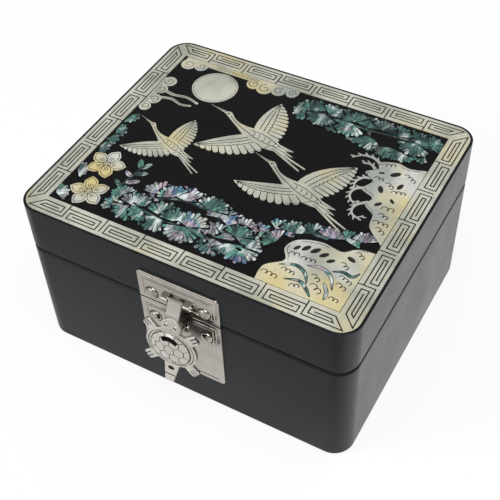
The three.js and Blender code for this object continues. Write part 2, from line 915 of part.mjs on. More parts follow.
function turtleShell() {
  const feet = footAngles.flatMap((degrees) => {
    const angle = THREE.MathUtils.degToRad(degrees);
    const middle = footReach - footLength / 2;
    return extrude(roundedShape(footLength, footWidth, 1.3, 3), turtleSheet + 0.25)
      .translate(middle, 0, 0)
      .rotateZ(angle)
      .translate(0, 0, -turtleSheet);
  });
  const toes = footAngles.flatMap((degrees) => (
    [-1, 1].map((side) => (
      box(footReach - 3.2, footReach + 1, -toeLine / 2, toeLine / 2, -0.35, 2)
        .translate(0, (side * footWidth) / 6, 0)
        .rotateZ(THREE.MathUtils.degToRad(degrees))
    ))
  ));
  const sheet = extrude(ellipseShape(shellHalfWidth, shellHalfHeight), turtleSheet + 0.35, 36)
    .translate(0, 0, -turtleSheet);
  const domeRows = [1, 0.93, 0.72, 0.4].map((share) => (
    Array.from({ length: 28 }, (_, i) => {
      const angle = (2 * Math.PI * i) / 28;
      return new THREE.Vector3(
        domeHalfWidth * share * Math.cos(angle),
        domeHalfHeight * share * Math.sin(angle),
        domeHeight * Math.sqrt(1 - share ** 2),
      );
    })
  ));
  const footing = domeRows[0].map((p) => new THREE.Vector3(p.x, p.y, -turtleSheet / 2));
  const dome = skin([footing, ...domeRows]);
  const slotLine = Array.from({ length: 9 }, (_, i) => {
    const angle = Math.PI / 2 + THREE.MathUtils.lerp(slotHalfAngle, -slotHalfAngle, i / 8);
    return at2(slotRadius * Math.cos(angle), slotRadius * Math.sin(angle));
  });
  const slot = extrude(penOutline(slotLine, slotWidth), 12).translate(0, 0, -5);
  const body = joined([sheet, dome, ...feet]).add(turtleScutes());
  return cutAway(body, [slot, ...toes]);
}

function turtleHead() {
  const half = headWidth / 2;
  const outline = new THREE.Shape();
  outline.moveTo(-half * 0.86, -headLength * 0.62);
  outline.lineTo(half * 0.86, -headLength * 0.62);
  outline.lineTo(half, -headLength * 0.12);
  outline.quadraticCurveTo(half, headLength * 0.12, half * 0.55, headLength * 0.3);
  outline.lineTo(half * 0.12, headLength * 0.47);
  outline.quadraticCurveTo(0, headLength * 0.52, -half * 0.12, headLength * 0.47);
  outline.lineTo(-half * 0.55, headLength * 0.3);
  outline.quadraticCurveTo(-half, headLength * 0.12, -half, -headLength * 0.12);
  outline.closePath();
  const block = extrude(outline, headThickness, 4).translate(0, 0, -headThickness);
  const eyes = [-1, 1].map((side) => (
    new THREE.TorusGeometry(eyeRadius, 0.32, 6, 14).translate(side * 2.2, -0.7, 0.02)
  ));
  return joined([block, ...eyes]);
}

function turtleTail() {
  const bend = 0.62;
  const widthAt = (share) => THREE.MathUtils.lerp(tailRootWidth, tailTipWidth, share) / 2;
  const root = new THREE.Shape([
    at2(-tailRootWidth / 2, 2),
    at2(-widthAt(1), -tailLength),
    at2(widthAt(1), -tailLength),
    at2(tailRootWidth / 2, 2),
  ]);
  const sheet = extrude(root, turtleSheet).translate(0, 0, -turtleSheet);
  const dimple = new THREE.CylinderGeometry(0.85, 0.85, 4, 12)
    .rotateX(Math.PI / 2)
    .scale(1.9, 1, 1)
    .translate(0, -2.2, 0);
  const crease = box(-4, 4, -0.25, 0.25, -0.3, 1).translate(0, -tailLength * bend, 0);
  return cutAway(toSolid(sheet), [dimple, crease]);
}

function turtleHasp() {
  const along = (distance) => [
    turtleCentreOut - distance * Math.sin(turtleLean),
    turtleCentreZ + distance * Math.cos(turtleLean),
  ];
  const shell = leaning(turtleShell(), turtleLean, turtleCentreOut, turtleCentreZ);
  const [headOut, headZ] = along(shellHalfHeight + headLength * 0.36);
  const head = leaning(turtleHead(), headLean, headOut + 0.1, headZ);
  const [tailOut, tailZ] = along(-shellHalfHeight + 0.6);
  const tail = leaning(turtleTail(), tailLean, tailOut + 0.1, tailZ);
  const strapLine = [
    at2(haspPivotOut + haspBarrelRadius - 0.5, haspPivotZ + 0.2),
    at2(haspPivotOut + 2.4, haspPivotZ - 3),
    at2(headOut - 1.1, headZ + headLength * 0.36),
    at2(headOut - 0.5, headZ - headLength * 0.25),
    at2(along(shellHalfHeight - 2)[0] - 0.5, along(shellHalfHeight - 2)[1]),
  ];
  const strap = extrude(penOutline(strapLine, turtleSheet), haspBarrelWidth)
    .translate(0, 0, -haspBarrelWidth / 2)
    .applyMatrix4(new THREE.Matrix4().makeBasis(
      new THREE.Vector3(0, 0, 1),
      new THREE.Vector3(0, 1, 0),
      new THREE.Vector3(-1, 0, 0),
    ));
  const barrel = rod(haspBarrelRadius, -haspBarrelWidth / 2, haspBarrelWidth / 2)
    .translate(0, haspPivotZ, haspPivotOut);
  const bore = rod(haspPinRadius + runningGap, -haspBarrelWidth, haspBarrelWidth, true)
    .translate(0, haspPivotZ, haspPivotOut);
  const body = joined([strap, barrel]).add(shell).add(head).add(tail);
  return onFront(cutAway(body, [bore]));
}

// Rear hinges, drawn with the pin along X at the origin, z up and y out from the wall.
function hingeLeafSolid(isLid) {
  const side = isLid ? 1 : -1;
  const half = hingeWidth / 2;
  const middle = hingeMiddleKnuckle / 2;
  const edge = hingeBarrelRadius + hingeLeafGap;
  const span = (x0, x1, z0, z1) => box(
    x0,
    x1,
    -hingeAxisOut,
    -hingeAxisOut + hingeLeaf,
    Math.min(side * z0, side * z1),
    Math.max(side * z0, side * z1),
  );
  const knuckles = isLid
    ? [[-middle + hingeKnuckleGap, middle - hingeKnuckleGap]]
    : [[-half, -middle], [middle, half]];
  const pieces = knuckles.flatMap(([x0, x1]) => [
    rod(hingeBarrelRadius, x0, x1),
    span(x0, x1, 0, edge + 1),
  ]);
  pieces.push(span(-half, half, edge, edge + hingeLeafHeight));
  const bores = [rod(hingePinRadius + runningGap, -half - 1, half + 1, true)];
  [-hingeScrewX, hingeScrewX].forEach((x) => {
    const hole = new THREE.CylinderGeometry(
      hingeScrewRadius * 0.6,
      hingeScrewRadius * 0.6,
      6,
      roundSides,
    );
    bores.push(hole.translate(x, -hingeAxisOut, side * (edge + hingeLeafHeight / 2)));
  });
  return cutAway(joined(pieces), bores);
}

function hingePinGeometry() {
  const half = hingeWidth / 2 + 0.4;
  return rod(hingePinRadius, -half, half);
}

function hingeNodes(label, x) {
  const edge = hingeBarrelRadius + hingeLeafGap;
  const place = (geometry) => geometry.translate(x, hingeY, hingeZ);
  const screwAt = (side, offset) => screw(hingeScrewRadius, hingeScrewDome, hingeLeaf, false)
    .applyMatrix4(facing.back)
    .translate(
      x + offset,
      backY + hingeLeaf,
      hingeZ + side * (edge + hingeLeafHeight / 2),
    );
  return {
    base: [
      mesh(`hinge_${label}_base_leaf`, place(toGeometry(hingeLeafSolid(false))), nickel),
      mesh(`hinge_${label}_pin`, place(hingePinGeometry()), nickel),
      mesh(`hinge_${label}_base_screw_1`, screwAt(-1, -hingeScrewX), nickel),
      mesh(`hinge_${label}_base_screw_2`, screwAt(-1, hingeScrewX), nickel),
    ],
    lid: [
      mesh(`hinge_${label}_lid_leaf`, place(toGeometry(hingeLeafSolid(true))), nickel),
      mesh(`hinge_${label}_lid_screw_1`, screwAt(1, -hingeScrewX), nickel),
      mesh(`hinge_${label}_lid_screw_2`, screwAt(1, hingeScrewX), nickel),
    ],
  };
}

// Interior of the base
function liningNodes() {
  const longX = 2 * liningX;
  const longY = 2 * (roomY - fitGap);
  const centreX = liningX - liningThickness / 2;
  const centreY = liningY - liningThickness / 2;
  const board = (length) => standingBoard(length, liningThickness, floorZ, lipTop);
  return [
    mesh('lining_front', board(longX).translate(0, -centreY, 0), velvet),
    mesh('lining_back', board(longX).translate(0, centreY, 0), velvet),
    mesh('lining_left', board(longY).rotateZ(Math.PI / 2).translate(-centreX, 0, 0), velvet),
    mesh('lining_right', board(longY).rotateZ(Math.PI / 2).translate(centreX, 0, 0), velvet),
  ];
}

function interiorNodes() {
  const left = -roomX + fitGap;
  const right = roomX - fitGap;
  const front = -roomY + fitGap;
  const back = roomY - fitGap;
  const bedRight = left + ringBedWidth;
  const dividerX = bedRight + fitGap + dividerThickness / 2;
  const trayLeft = dividerX + dividerThickness / 2 + fitGap;
  const dividerTop = floorZ + dividerHeight;
  const longDivider = standingBoard(back - front, dividerThickness, floorZ, dividerTop)
    .rotateZ(Math.PI / 2)
    .translate(dividerX, 0, 0);
  const crossDivider = standingBoard(right - trayLeft, dividerThickness, floorZ, dividerTop)
    .translate((trayLeft + right) / 2, crossDividerY, 0);
  const bedTop = floorZ + ringBedHeight;
  const pad = (y0, y1) => floorPad(right - trayLeft, y1 - y0)
    .translate((trayLeft + right) / 2, (y0 + y1) / 2, floorZ);
  const half = dividerThickness / 2 + fitGap;
  const pitch = (back - front) / ringRollCount;
  const rolls = Array.from({ length: ringRollCount }, (_, i) => (
    mesh(
      `ring_roll_${i + 1}`,
      ringRoll(ringBedWidth - 0.6, pitch - ringRollGap, ringRollHeight)
        .translate((left + bedRight) / 2, front + (i + 0.5) * pitch, bedTop),
      velvet,
    )
  ));
  return [
    mesh('ring_bed', box(left, bedRight, front, back, floorZ, bedTop), velvet),
    mesh('divider_long', longDivider, velvet),
    mesh('divider_cross', crossDivider, velvet),
    mesh('floor_pad_front', pad(front, crossDividerY - half), velvet),
    mesh('floor_pad_rear', pad(crossDividerY + half, back), velvet),
    ...rolls,
  ];
}

// Picture on the lid: traditional figures, drawn afresh
const craneWings = {
  soaring: [
    [[[-5, 3], [-6, 13], [1, 23], [13, 30]], [[13, 30], [17, 22], [18, 10], [10, 1]]],
    [[[-5, 1], [-13, -3], [-20, -7], [-31, -13]], [[-31, -13], [-20, -19], [-2, -18], [9, -3]]],
  ],
  gliding: [
    [[[-5, 3], [-8, 11], [-8, 19], [-4, 28]], [[-4, 28], [5, 24], [12, 12], [10, 1]]],
    [[[-5, 0], [-12, -5], [-18, -11], [-25, -21]], [[-25, -21], [-12, -23], [4, -17], [9, -3]]],
  ],
};

function pictureNodes() {
  const right = pictureColumns / 2;
  const left = -right;
  const top = pictureRows / 2;
  const bottom = -top;
  const moon = sheetOf([new THREE.Shape().absarc(0, 0, 10.8, 0, 2 * Math.PI, false)], 18);
  const cloudLeft = cloud(
    [[-63.4, 34, 3.4], [-63.8, 27.5, 3], [-63.2, 20, 3.4], [-64, 13.5, 2.8]],
    [
      [3, [left + 1.5, 36], [left + 1.5, 24], [left + 1.5, 12]],
      [1.7, [-64, 28], [-57, 26.4], [-50, 27.4], [-43, 25.6]],
      [1.5, [-63, 21.5], [-56, 23.4], [-50, 21.8], [-45, 23]],
    ],
  );
  const cloudTop = cloud(
    [
      [-62.4, 49.6, 3.8], [-56, 50.6, 3.2], [-27, 50.2, 3.6], [-21, 49.4, 4], [-14.4, 50.6, 3.4],
      [-8, 51.6, 2.8],
    ],
    [[3, [left + 1.5, top - 1.6], [-38, top - 1.5], [-5, top - 1.6]]],
  );
  const pineTop = pineSpray(
    [
      [[right - 2, 45], [50, 46], [32, 44.4], [14, 45.6], [4, 44.6]],
      [[34, 44.4], [38, 38], [46, 36]],
    ],
    [
      [58.4, 45.6, 8.5, 90], [45.6, 45.6, 8.6, 95], [32.8, 45.4, 8.6, 90], [20, 45.4, 8.6, 95],
      [56.5, 45, 8.8, 262], [26, 45, 9.4, 255], [12, 45, 8.8, 265], [7, 45.4, 8.4, 100],
      [5, 44.5, 8.4, 195], [39, 39.5, 8.4, 245], [47, 38, 8.2, 275],
    ],
  );
  const pineFront = pineSpray(
    [
      [[-42, -47], [-30, -43.5], [-16, -45], [-4, -43.5], [8, -45], [22, -42]],
      [[-26, -44], [-27, -36], [-16, -31], [-2, -31.5], [10, -36], [22, -35]],
      [[-40, -47], [-43.6, -37], [-42, -22]],
    ],
    [
      [-38, -46, 7.6, 150], [-33, -44, 8.6, 262], [-20, -44, 9, 272], [-32, -43, 8.6, 100],
      [-19, -43, 9, 95], [-6, -43, 9, 95], [-7, -44, 9.4, 268], [6, -43, 9, 85],
      [7, -44, 9.4, 275], [19, -42, 8.4, 75], [19, -43, 9, 285], [-26, -33, 8.8, 110],
      [-15, -31, 9, 95], [-3, -31, 8.6, 85], [8, -35, 8.6, 80], [20, -35, 8.4, 75],
    ],
    [
      [-43.4, -36, 5.4, 150], [-43, -33, 6, 35], [-42.6, -29, 5, 155], [-42.6, -27, 6, 30],
      [-42.2, -23, 6, 120], [-42, -23, 5.6, 60],
    ],
  );
  const cragRight = crag(
    [
      [right, 31], [60, 29], [54, 30], [47, 27], [48, 23], [44, 19], [49, 15], [47, 9], [53, 6],
      [52, 1], [57, -3], [59, -10], [right, -17],
    ],
    [],
    [[57, 22, 6, 40], [55, 11, 5, -60]],
  );
  const cragFront = crag(
    [
      [right, -22], [60, -23], [55, -27], [46, -26], [37, -29], [34, -35], [37, -41], [31, -47],
      [31, bottom],
    ],
    [[right, bottom]],
    [[47, -33, 7, 10], [57, -32, 5, -20]],
  );
  return [
    inlayAt('moon_disc', moon, pearl, -42, 39.6),
    inlay('cloud_left', cloudLeft, pearl),
    inlay('cloud_top', cloudTop, warmPearl),
    inlayAt('crane_1', crane(craneWings.gliding), pearl, -7, 18, -4, 0.88),
    inlayAt('crane_2', crane(craneWings.soaring), pearl, 25, -4, -9, 0.86),
    inlayAt('crane_3', crane(craneWings.gliding), pearl, -39.2, -4, -12, 0.68),
    inlay('pine_top', pineTop, abalone),
    inlay('pine_front', pineFront, abalone),
    inlay('crag_right', cragRight, warmPearl),
    inlay('crag_front', cragFront, warmPearl),
    inlayAt('blossom_1', blossom(), warmPearl, -57, -27, 12),
    inlayAt('blossom_2', blossom(), warmPearl, -54, -44.6, 40),
  ];
}

// Assembly
const jewelryBox = new THREE.Group();
const baseGroup = new THREE.Group();
const lidGroup = new THREE.Group();
const haspGroup = new THREE.Group();
const hinges = [hingeNodes('left', -hingeX), hingeNodes('right', hingeX)];

baseGroup.add(
  mesh('base_frame', baseFrame(), lacquer),
  mesh('base_board', insetBoard(boardInset + fitGap, feltThickness, floorZ), lacquer),
  mesh('base_felt', insetBoard(feltInset, 0, feltThickness), felt),
  ...liningNodes(),
  ...interiorNodes(),
  mesh('latch_lower_plate', lowerPlate(), nickel),
  mesh('latch_keeper', keeper(), nickel),
  frontScrew('latch_lower_screw_1', -1, lowerScrewZ),
  frontScrew('latch_lower_screw_2', 1, lowerScrewZ),
  ...hinges.flatMap((hinge) => hinge.base),
);

lidGroup.add(
  mesh('lid_frame', lidFrame(), lacquer),
  mesh('lid_board', insetBoard(boardInset + fitGap, lidBoardBottom, fieldZ), field),
  mesh('lid_lining', lidLining(), velvet),
  mesh('mirror_surround', mirrorSurround(), velvet),
  mesh('mirror_glass', mirrorGlass(), glass),
  mesh('pearl_border', pearlBorder(), pearl),
  ...pictureNodes(),
  mesh('latch_upper_plate', upperPlate(), nickel),
  mesh('latch_hinge_pin', haspPin(), nickel),
  frontScrew('latch_upper_screw_1', -1, upperScrewZ),
  frontScrew('latch_upper_screw_2', 1, upperScrewZ),
  ...hinges.flatMap((hinge) => hinge.lid),
);

haspGroup.add(mesh('turtle_hasp', turtleHasp(), nickel));
lidGroup.add(haspGroup);
jewelryBox.add(baseGroup, lidGroup);

export default jewelryBox;
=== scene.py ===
"""Lacquered jewelry box: finishes, inlay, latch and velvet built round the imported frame."""

from __future__ import annotations

import json
import logging
import math
import random
from dataclasses import dataclass
from enum import Enum
from typing import Callable, Iterable, Sequence

import bmesh
import bpy
from mathutils import Matrix, Vector

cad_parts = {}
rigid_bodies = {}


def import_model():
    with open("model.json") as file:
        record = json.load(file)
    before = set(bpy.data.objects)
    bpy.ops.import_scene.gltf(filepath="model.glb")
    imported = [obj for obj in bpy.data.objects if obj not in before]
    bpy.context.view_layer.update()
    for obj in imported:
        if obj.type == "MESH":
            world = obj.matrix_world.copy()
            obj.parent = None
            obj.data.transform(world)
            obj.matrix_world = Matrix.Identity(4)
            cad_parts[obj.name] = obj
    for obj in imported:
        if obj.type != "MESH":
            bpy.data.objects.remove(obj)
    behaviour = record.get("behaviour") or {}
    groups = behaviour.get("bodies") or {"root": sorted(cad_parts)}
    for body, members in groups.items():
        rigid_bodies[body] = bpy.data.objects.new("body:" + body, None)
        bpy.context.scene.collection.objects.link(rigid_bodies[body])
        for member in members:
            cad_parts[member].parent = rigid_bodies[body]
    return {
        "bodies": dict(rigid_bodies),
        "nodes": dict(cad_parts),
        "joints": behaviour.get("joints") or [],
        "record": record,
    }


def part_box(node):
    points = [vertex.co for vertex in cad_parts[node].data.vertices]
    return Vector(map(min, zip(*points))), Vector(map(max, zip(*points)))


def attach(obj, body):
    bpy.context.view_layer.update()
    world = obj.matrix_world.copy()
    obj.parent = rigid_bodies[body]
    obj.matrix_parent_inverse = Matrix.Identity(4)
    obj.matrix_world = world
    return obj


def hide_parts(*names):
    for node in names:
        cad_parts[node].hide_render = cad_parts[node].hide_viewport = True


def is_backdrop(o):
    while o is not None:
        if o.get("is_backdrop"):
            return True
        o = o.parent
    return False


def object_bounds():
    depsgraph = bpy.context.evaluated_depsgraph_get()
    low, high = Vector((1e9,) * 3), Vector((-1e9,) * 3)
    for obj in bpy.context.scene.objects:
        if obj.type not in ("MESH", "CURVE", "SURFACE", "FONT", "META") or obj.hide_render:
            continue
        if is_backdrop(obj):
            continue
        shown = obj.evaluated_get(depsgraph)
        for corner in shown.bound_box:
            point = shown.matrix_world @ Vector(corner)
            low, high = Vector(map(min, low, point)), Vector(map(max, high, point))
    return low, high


LOG = logging.getLogger("jewelry_box")
MM = 0.001
# Face attribute that darkens nickel to brown: mostly painted shade in recesses, between parts and on
# faces turned from the light, and a plain darker tone on the strap and head.
SHADE_AND_TARNISH = "shade_and_tarnish"
TONE = "needle_tone"
Point = tuple[float, float]
Colour = tuple[float, float, float, float]
Line = list[Vector]
Socket = bpy.types.NodeSocket
Material = bpy.types.Material
Piece = bpy.types.Object
Face = bmesh.types.BMFace
BMVert = bmesh.types.BMVert


class Body(Enum):
    """The bodies of the frame that a piece can ride on."""

    BASE = "base"
    LID = "lid"
    HASP = "hasp"


def srgb(red: int, green: int, blue: int) -> Colour:
    """Turns an 8-bit screen colour into a linear one.

    Args:
        red, green, blue: channels from 0 to 255.

    Returns:
        The linear colour with full cover.
    """
    shares = (value / 255 for value in (red, green, blue))
    return (*(s / 12.92 if s <= 0.04045 else ((s + 0.055) / 1.055) ** 2.4 for s in shares), 1.0)


def box(node: str) -> tuple[Vector, Vector]:
    """Low and high corners of a CAD node, in millimetres."""
    low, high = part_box(node)
    return low / MM, high / MM


def linked(name: str, data: bpy.types.ID) -> Piece:
    """Puts data in the scene.

    Args:
        name: a name for it.
        data: a mesh, a light or a camera.

    Returns:
        The new object.
    """
    made = bpy.data.objects.new(name, data)
    bpy.context.scene.collection.objects.link(made)
    return made


def evaluated(piece: Piece) -> bpy.types.Mesh:
    """The piece's mesh as its modifiers leave it at this frame."""
    graph = bpy.context.evaluated_depsgraph_get()
    return bpy.data.meshes.new_from_object(piece.evaluated_get(graph))


# Finishes


class Recipe:
    """Node tree of one material, with short calls for the nodes that the finishes use."""

    def __init__(self, name: str) -> None:
        """Starts a material with a lone Principled shader.

        Args:
            name: the material's name.
        """
        self.material = bpy.data.materials.new(name)
        self.material.use_nodes = True
        self.tree = self.material.node_tree
        self.shader = self.tree.nodes["Principled BSDF"]
        self.place = self.node("TexCoord").outputs["Object"]

    def feed(self, value: object, socket: Socket) -> None:
        """Links a socket to another, or sets it to a value.

        Args:
            value: the other socket, or the value.
            socket: the input.
        """
        if isinstance(value, Socket):
            self.tree.links.new(value, socket)
        else:
            socket.default_value = value

    def node(self, kind: str, **settings: object) -> bpy.types.Node:
        """Adds a node with its settings.

        Args:
            kind: the node's type without its ShaderNode prefix.
            settings: attributes of the node, or what feeds the inputs of that name.

        Returns:
            The new node.
        """
        made = self.tree.nodes.new("ShaderNode" + kind)
        for key, value in settings.items():
            label = key.replace("_", " ").title()
            if label in made.inputs:
                self.feed(value, made.inputs[label])
            else:
                setattr(made, key, value)
        return made

    def noise(self, scale: float, detail: float = 2, stretch: Sequence[float] = (1, 1, 1),
              turn: float = 0) -> Socket:
        """Noise over the piece.

        Args:
            scale: features in a metre.
            detail: finer layers.
            stretch: scale of each axis.
            turn: turn in plan, in degrees.

        Returns:
            The noise from 0 to 1.
        """
        moved = self.node("Mapping", vector=self.place, scale=stretch,
                          rotation=(0, 0, math.radians(turn)))
        made = self.node("TexNoise", vector=moved.outputs[0], scale=scale, detail=detail)
        return made.outputs["Fac"]

    def attribute(self, name: str) -> Socket:
        """A value that the faces of the piece carry."""
        return self.node("Attribute", attribute_name=name).outputs["Fac"]

    def ramp(self, source: Socket, *stops: tuple[float, Colour]) -> Socket:
        """Colours along a value.

        Args:
            source: the value.
            stops: (place, colour) along it.

        Returns:
            The colour.
        """
        made = self.node("ValToRGB", fac=source)
        band = made.color_ramp.elements
        while len(band) < len(stops):
            band.new(0.5)
        for stop, (place, colour) in zip(band, stops):
            stop.position, stop.color = place, colour
        return made.outputs["Color"]

    def level(self, source: Socket, low: object, high: float, start: float = 0.3,
              end: float = 0.7) -> Socket:
        """Spreads a stretch of a value over another range.

        Args:
            source: the value.
            low, high: the range that comes out.
            start, end: the stretch that goes in.

        Returns:
            The new value.
        """
        return self.node("MapRange", value=source, from_min=start, from_max=end, to_min=low,
                         to_max=high).outputs["Result"]

    def mixed(self, factor: object, first: object, second: object) -> Socket:
        """Mixes two colours.

        Args:
            factor: share of the second.
            first, second: colours or sockets.

        Returns:
            The mixed colour.
        """
        made = self.node("Mix", data_type="RGBA")
        for index, value in ((0, factor), (6, first), (7, second)):
            self.feed(value, made.inputs[index])
        return made.outputs[2]

    def sum(self, operation: str, *values: object, kind: str = "Math") -> Socket:
        """Works out a sum.

        Args:
            operation: the node's operation.
            values: numbers, vectors or sockets.
            kind: Math, or VectorMath for vectors.

        Returns:
            The result, as a number.
        """
        made = self.node(kind, operation=operation)
        for socket, value in zip(made.inputs, values):
            self.feed(value, socket)
        return made.outputs["Value"]

    def bump(self, height: Socket, strength: float, distance: float) -> Socket:
        """Surface normal from a height, with the distance in metres."""
        return self.node("Bump", strength=strength, distance=distance, height=height).outputs[0]

    def finished(self, **values: object) -> Material:
        """Feeds the shader's inputs by name.

        Args:
            values: what feeds each input.

        Returns:
            The material.
        """
        for key, value in values.items():
            label = key.replace("_", " ").title().replace("Ior", "IOR")
            self.feed(value, self.shader.inputs[label])
        return self.material


@dataclass(frozen=True)
class CloudyFinish:
    """Lacquer, felt or glass: two near colours in cloudy patches, and its gloss and grain."""

    name: str
    colour: Colour
    lifted: Colour
    cloud: Point
    roughness: Point
    stops: Point = (0.3, 0.7)
    gloss: Point | None = None
    grain: Point = (0, 0)
    relief: Point = (0, 0)
    more: tuple[tuple[str, object], ...] = ()

    def build(self) -> Material:
        """Mixes the finish.

        Returns:
            The material.
        """
        mix = Recipe(self.name)
        cloudy = mix.noise(*self.cloud)
        gloss = mix.noise(*self.gloss) if self.gloss else cloudy
        if self.relief[0]:
            mix.finished(normal=mix.bump(mix.noise(*self.grain), *self.relief))
        return mix.finished(
            base_color=mix.ramp(cloudy, *zip(self.stops, (self.colour, self.lifted))),
            roughness=mix.level(gloss, *self.roughness), **dict(self.more))


SATIN_LACQUER = CloudyFinish(
    "satin_lacquer", srgb(17, 18, 20), srgb(23, 24, 27), (60, 3), (0.28, 0.34), (0.35, 0.65),
    grain=(1400, 2), relief=(0.25, 0.00004),
    more=(("ior", 1.38), ("specular_tint", srgb(240, 248, 255))))
POLISHED_LACQUER = CloudyFinish(
    "polished_lacquer", srgb(10, 10, 12), srgb(15, 15, 17), (25, 3), (0.1, 0.2), gloss=(300, 3),
    grain=(90, 2), relief=(0.2, 0.0001), more=(("ior", 1.36),))
ENGRAVED_LINE = CloudyFinish(
    "engraved_line", srgb(24, 24, 22), srgb(44, 42, 36), (500, 3), (0.25, 0.4))
BLACK_FELT = CloudyFinish(
    "felt", srgb(16, 16, 18), srgb(38, 38, 40), (1800, 5), (0.9, 1.0), grain=(1800, 5),
    relief=(0.7, 0.0003), more=(("sheen_weight", 0.3),))
MIRROR_GLASS = CloudyFinish(
    "mirror_glass", srgb(222, 228, 228), srgb(232, 236, 236), (40, 4), (0.02, 0.06),
    more=(("metallic", 1.0),))


@dataclass(frozen=True)
class Nacre:
    """Cut mother-of-pearl sheet under lacquer, cream with warm patches and fine growth lines."""

    name: str = "nacre"
    pale: Colour = srgb(200, 200, 186)
    grey: Colour = srgb(160, 163, 149)
    warm: Colour = srgb(206, 192, 148)
    growth: Colour = srgb(150, 152, 140)
    warm_share: float = 0.68

    def build(self) -> Material:
        """Mixes the pearl.

        Returns:
            The material.
        """
        mix = Recipe(self.name)
        body = mix.ramp(mix.noise(55, 4), (0.35, self.grey), (0.6, self.pale))
        patches = mix.level(mix.noise(38, turn=20), 0, 0.9, self.warm_share - 0.12,
                            self.warm_share + 0.08)
        lines = mix.noise(900, 3, (1, 0.12, 1), turn=35)
        coloured = mix.mixed(patches, body, self.warm)
        return mix.finished(
            base_color=mix.mixed(mix.level(lines, 0, 0.22), coloured, self.growth),
            roughness=mix.level(lines, 0.22, 0.36),
            normal=mix.bump(lines, 0.15, 0.00003),
            coat_weight=0.6,
            coat_roughness=0.08,
        )


@dataclass(frozen=True)
class Abalone:
    """Abalone sheet in greens, blues, violets and pinks, each needle with its own tone."""

    name: str = "abalone"
    flash: Colour = srgb(220, 231, 229)
    vein: Colour = srgb(30, 40, 43)

    def build(self) -> Material:
        """Mixes the abalone.

        Returns:
            The material.
        """
        mix = Recipe(self.name)
        tone = mix.attribute(TONE)
        waves = mix.noise(420, 3, (1, 0.25, 1), turn=60)
        hues = mix.ramp(
            mix.sum("ADD", tone, mix.level(mix.noise(95, 4), -0.3, 0.3)),
            (0.0, srgb(22, 40, 40)), (0.1, srgb(56, 98, 90)), (0.2, srgb(34, 62, 62)),
            (0.3, srgb(84, 124, 112)), (0.38, srgb(52, 82, 86)), (0.46, srgb(100, 158, 138)),
            (0.54, srgb(60, 92, 100)), (0.62, srgb(160, 166, 164)), (0.7, srgb(104, 98, 120)),
            (0.77, srgb(200, 178, 186)), (0.85, srgb(72, 108, 152)), (0.92, srgb(116, 170, 152)),
            (1.0, srgb(206, 208, 202)))
        flashes = mix.level(mix.noise(240, 2, (1, 0.5, 1), turn=15), 0, 1, 0.52, 0.64)
        lively = mix.sum("MULTIPLY", flashes, mix.level(tone, 0.2, 1, 0.1, 0.4))
        bright = mix.mixed(lively, hues, self.flash)
        return mix.finished(
            base_color=mix.mixed(mix.level(waves, 0, 0.7, 0.44, 0.64), bright, self.vein),
            roughness=mix.level(waves, 0.18, 0.34),
            normal=mix.bump(waves, 0.2, 0.00004),
            coat_weight=0.7,
            coat_roughness=0.06,
        )


@dataclass(frozen=True)
class Nickel:
    """Plated nickel, satin with small casting ripples, darkened to brown where a face attribute asks:
    painted shade in recesses, between parts and on faces turned away.
    """

    name: str = "nickel"
    # Dark brown of the painted shade, which the face attribute mixes in.
    shade_and_tarnish_colour: Colour = srgb(66, 58, 52)
    colour: Colour = srgb(234, 228, 219)
    dull: Colour = srgb(214, 208, 200)
    roughness: Point = (0.12, 0.22)
    metal: float = 1.0

    def build(self) -> Material:
        """Mixes the plating.

        Returns:
            The material.
        """
        mix = Recipe(self.name)
        cloudy = mix.noise(170, 4)
        # Share of painted shade from the face attribute; it darkens the colour and roughens the
        # finish.
        left = mix.attribute(SHADE_AND_TARNISH)
        clean = mix.ramp(cloudy, (0.3, self.dull), (0.65, self.colour))
        return mix.finished(
            base_color=mix.mixed(left, clean, self.shade_and_tarnish_colour),
            metallic=self.metal,
            roughness=mix.sum("MULTIPLY_ADD", left, 0.3, mix.level(cloudy, *self.roughness)),
            normal=mix.bump(mix.noise(700, 3), 0.2, 0.00003),
        )


@dataclass(frozen=True)
class Velvet:
    """Short pile velvet with brushed patches."""

    name: str = "velvet"
    deep: Colour = srgb(74, 12, 22)
    raised: Colour = srgb(128, 26, 40)
    sheen: Colour = srgb(220, 120, 130)

    def build(self) -> Material:
        """Mixes the velvet.

        Returns:
            The material.
        """
        mix = Recipe(self.name)
        pile = mix.noise(2600)
        brushed = mix.ramp(mix.noise(45, 3, (1, 0.4, 1), turn=25), (0.3, self.deep),
                           (0.7, self.raised))
        return mix.finished(
            base_color=mix.mixed(mix.level(pile, 0, 0.5), brushed, self.deep),
            roughness=mix.level(pile, 0.85, 1.0),
            normal=mix.bump(pile, 0.6, 0.0003),
            sheen_weight=0.6,
            sheen_roughness=0.4,
            sheen_tint=self.sheen,
        )


class Finishes:
    """Every material of the box, built once and handed out by slot."""

    def __init__(self) -> None:
        """Builds the materials."""
        self.slots: dict[str, Material] = {
            "black_lacquer": SATIN_LACQUER.build(),
            "field_lacquer": POLISHED_LACQUER.build(),
            "felt": BLACK_FELT.build(),
            "velvet": Velvet().build(),
            "pearl": Nacre().build(),
            "warm_pearl": Nacre("warm_nacre", pale=srgb(208, 210, 203), grey=srgb(158, 163, 156),
                                warm=srgb(214, 195, 126), warm_share=0.56).build(),
            "abalone": Abalone().build(),
            "nickel": Nickel().build(),
            "mirror": MIRROR_GLASS.build(),
        }
        self.engraved = ENGRAVED_LINE.build()

    def dress(self, frame: dict) -> None:
        """Gives each CAD node the material of its slot.
        """
        for entry in frame["record"]["subparts"]:
            mesh = frame["nodes"][entry["node"]].data
            mesh.materials.clear()
            mesh.materials.append(self.slots[entry["material_slot"]])


# Workpieces


def at_level(z: float) -> Callable[[Vector], bool]:
    """Test for points at a level."""
    return lambda point: abs(point.z - z) < 0.01


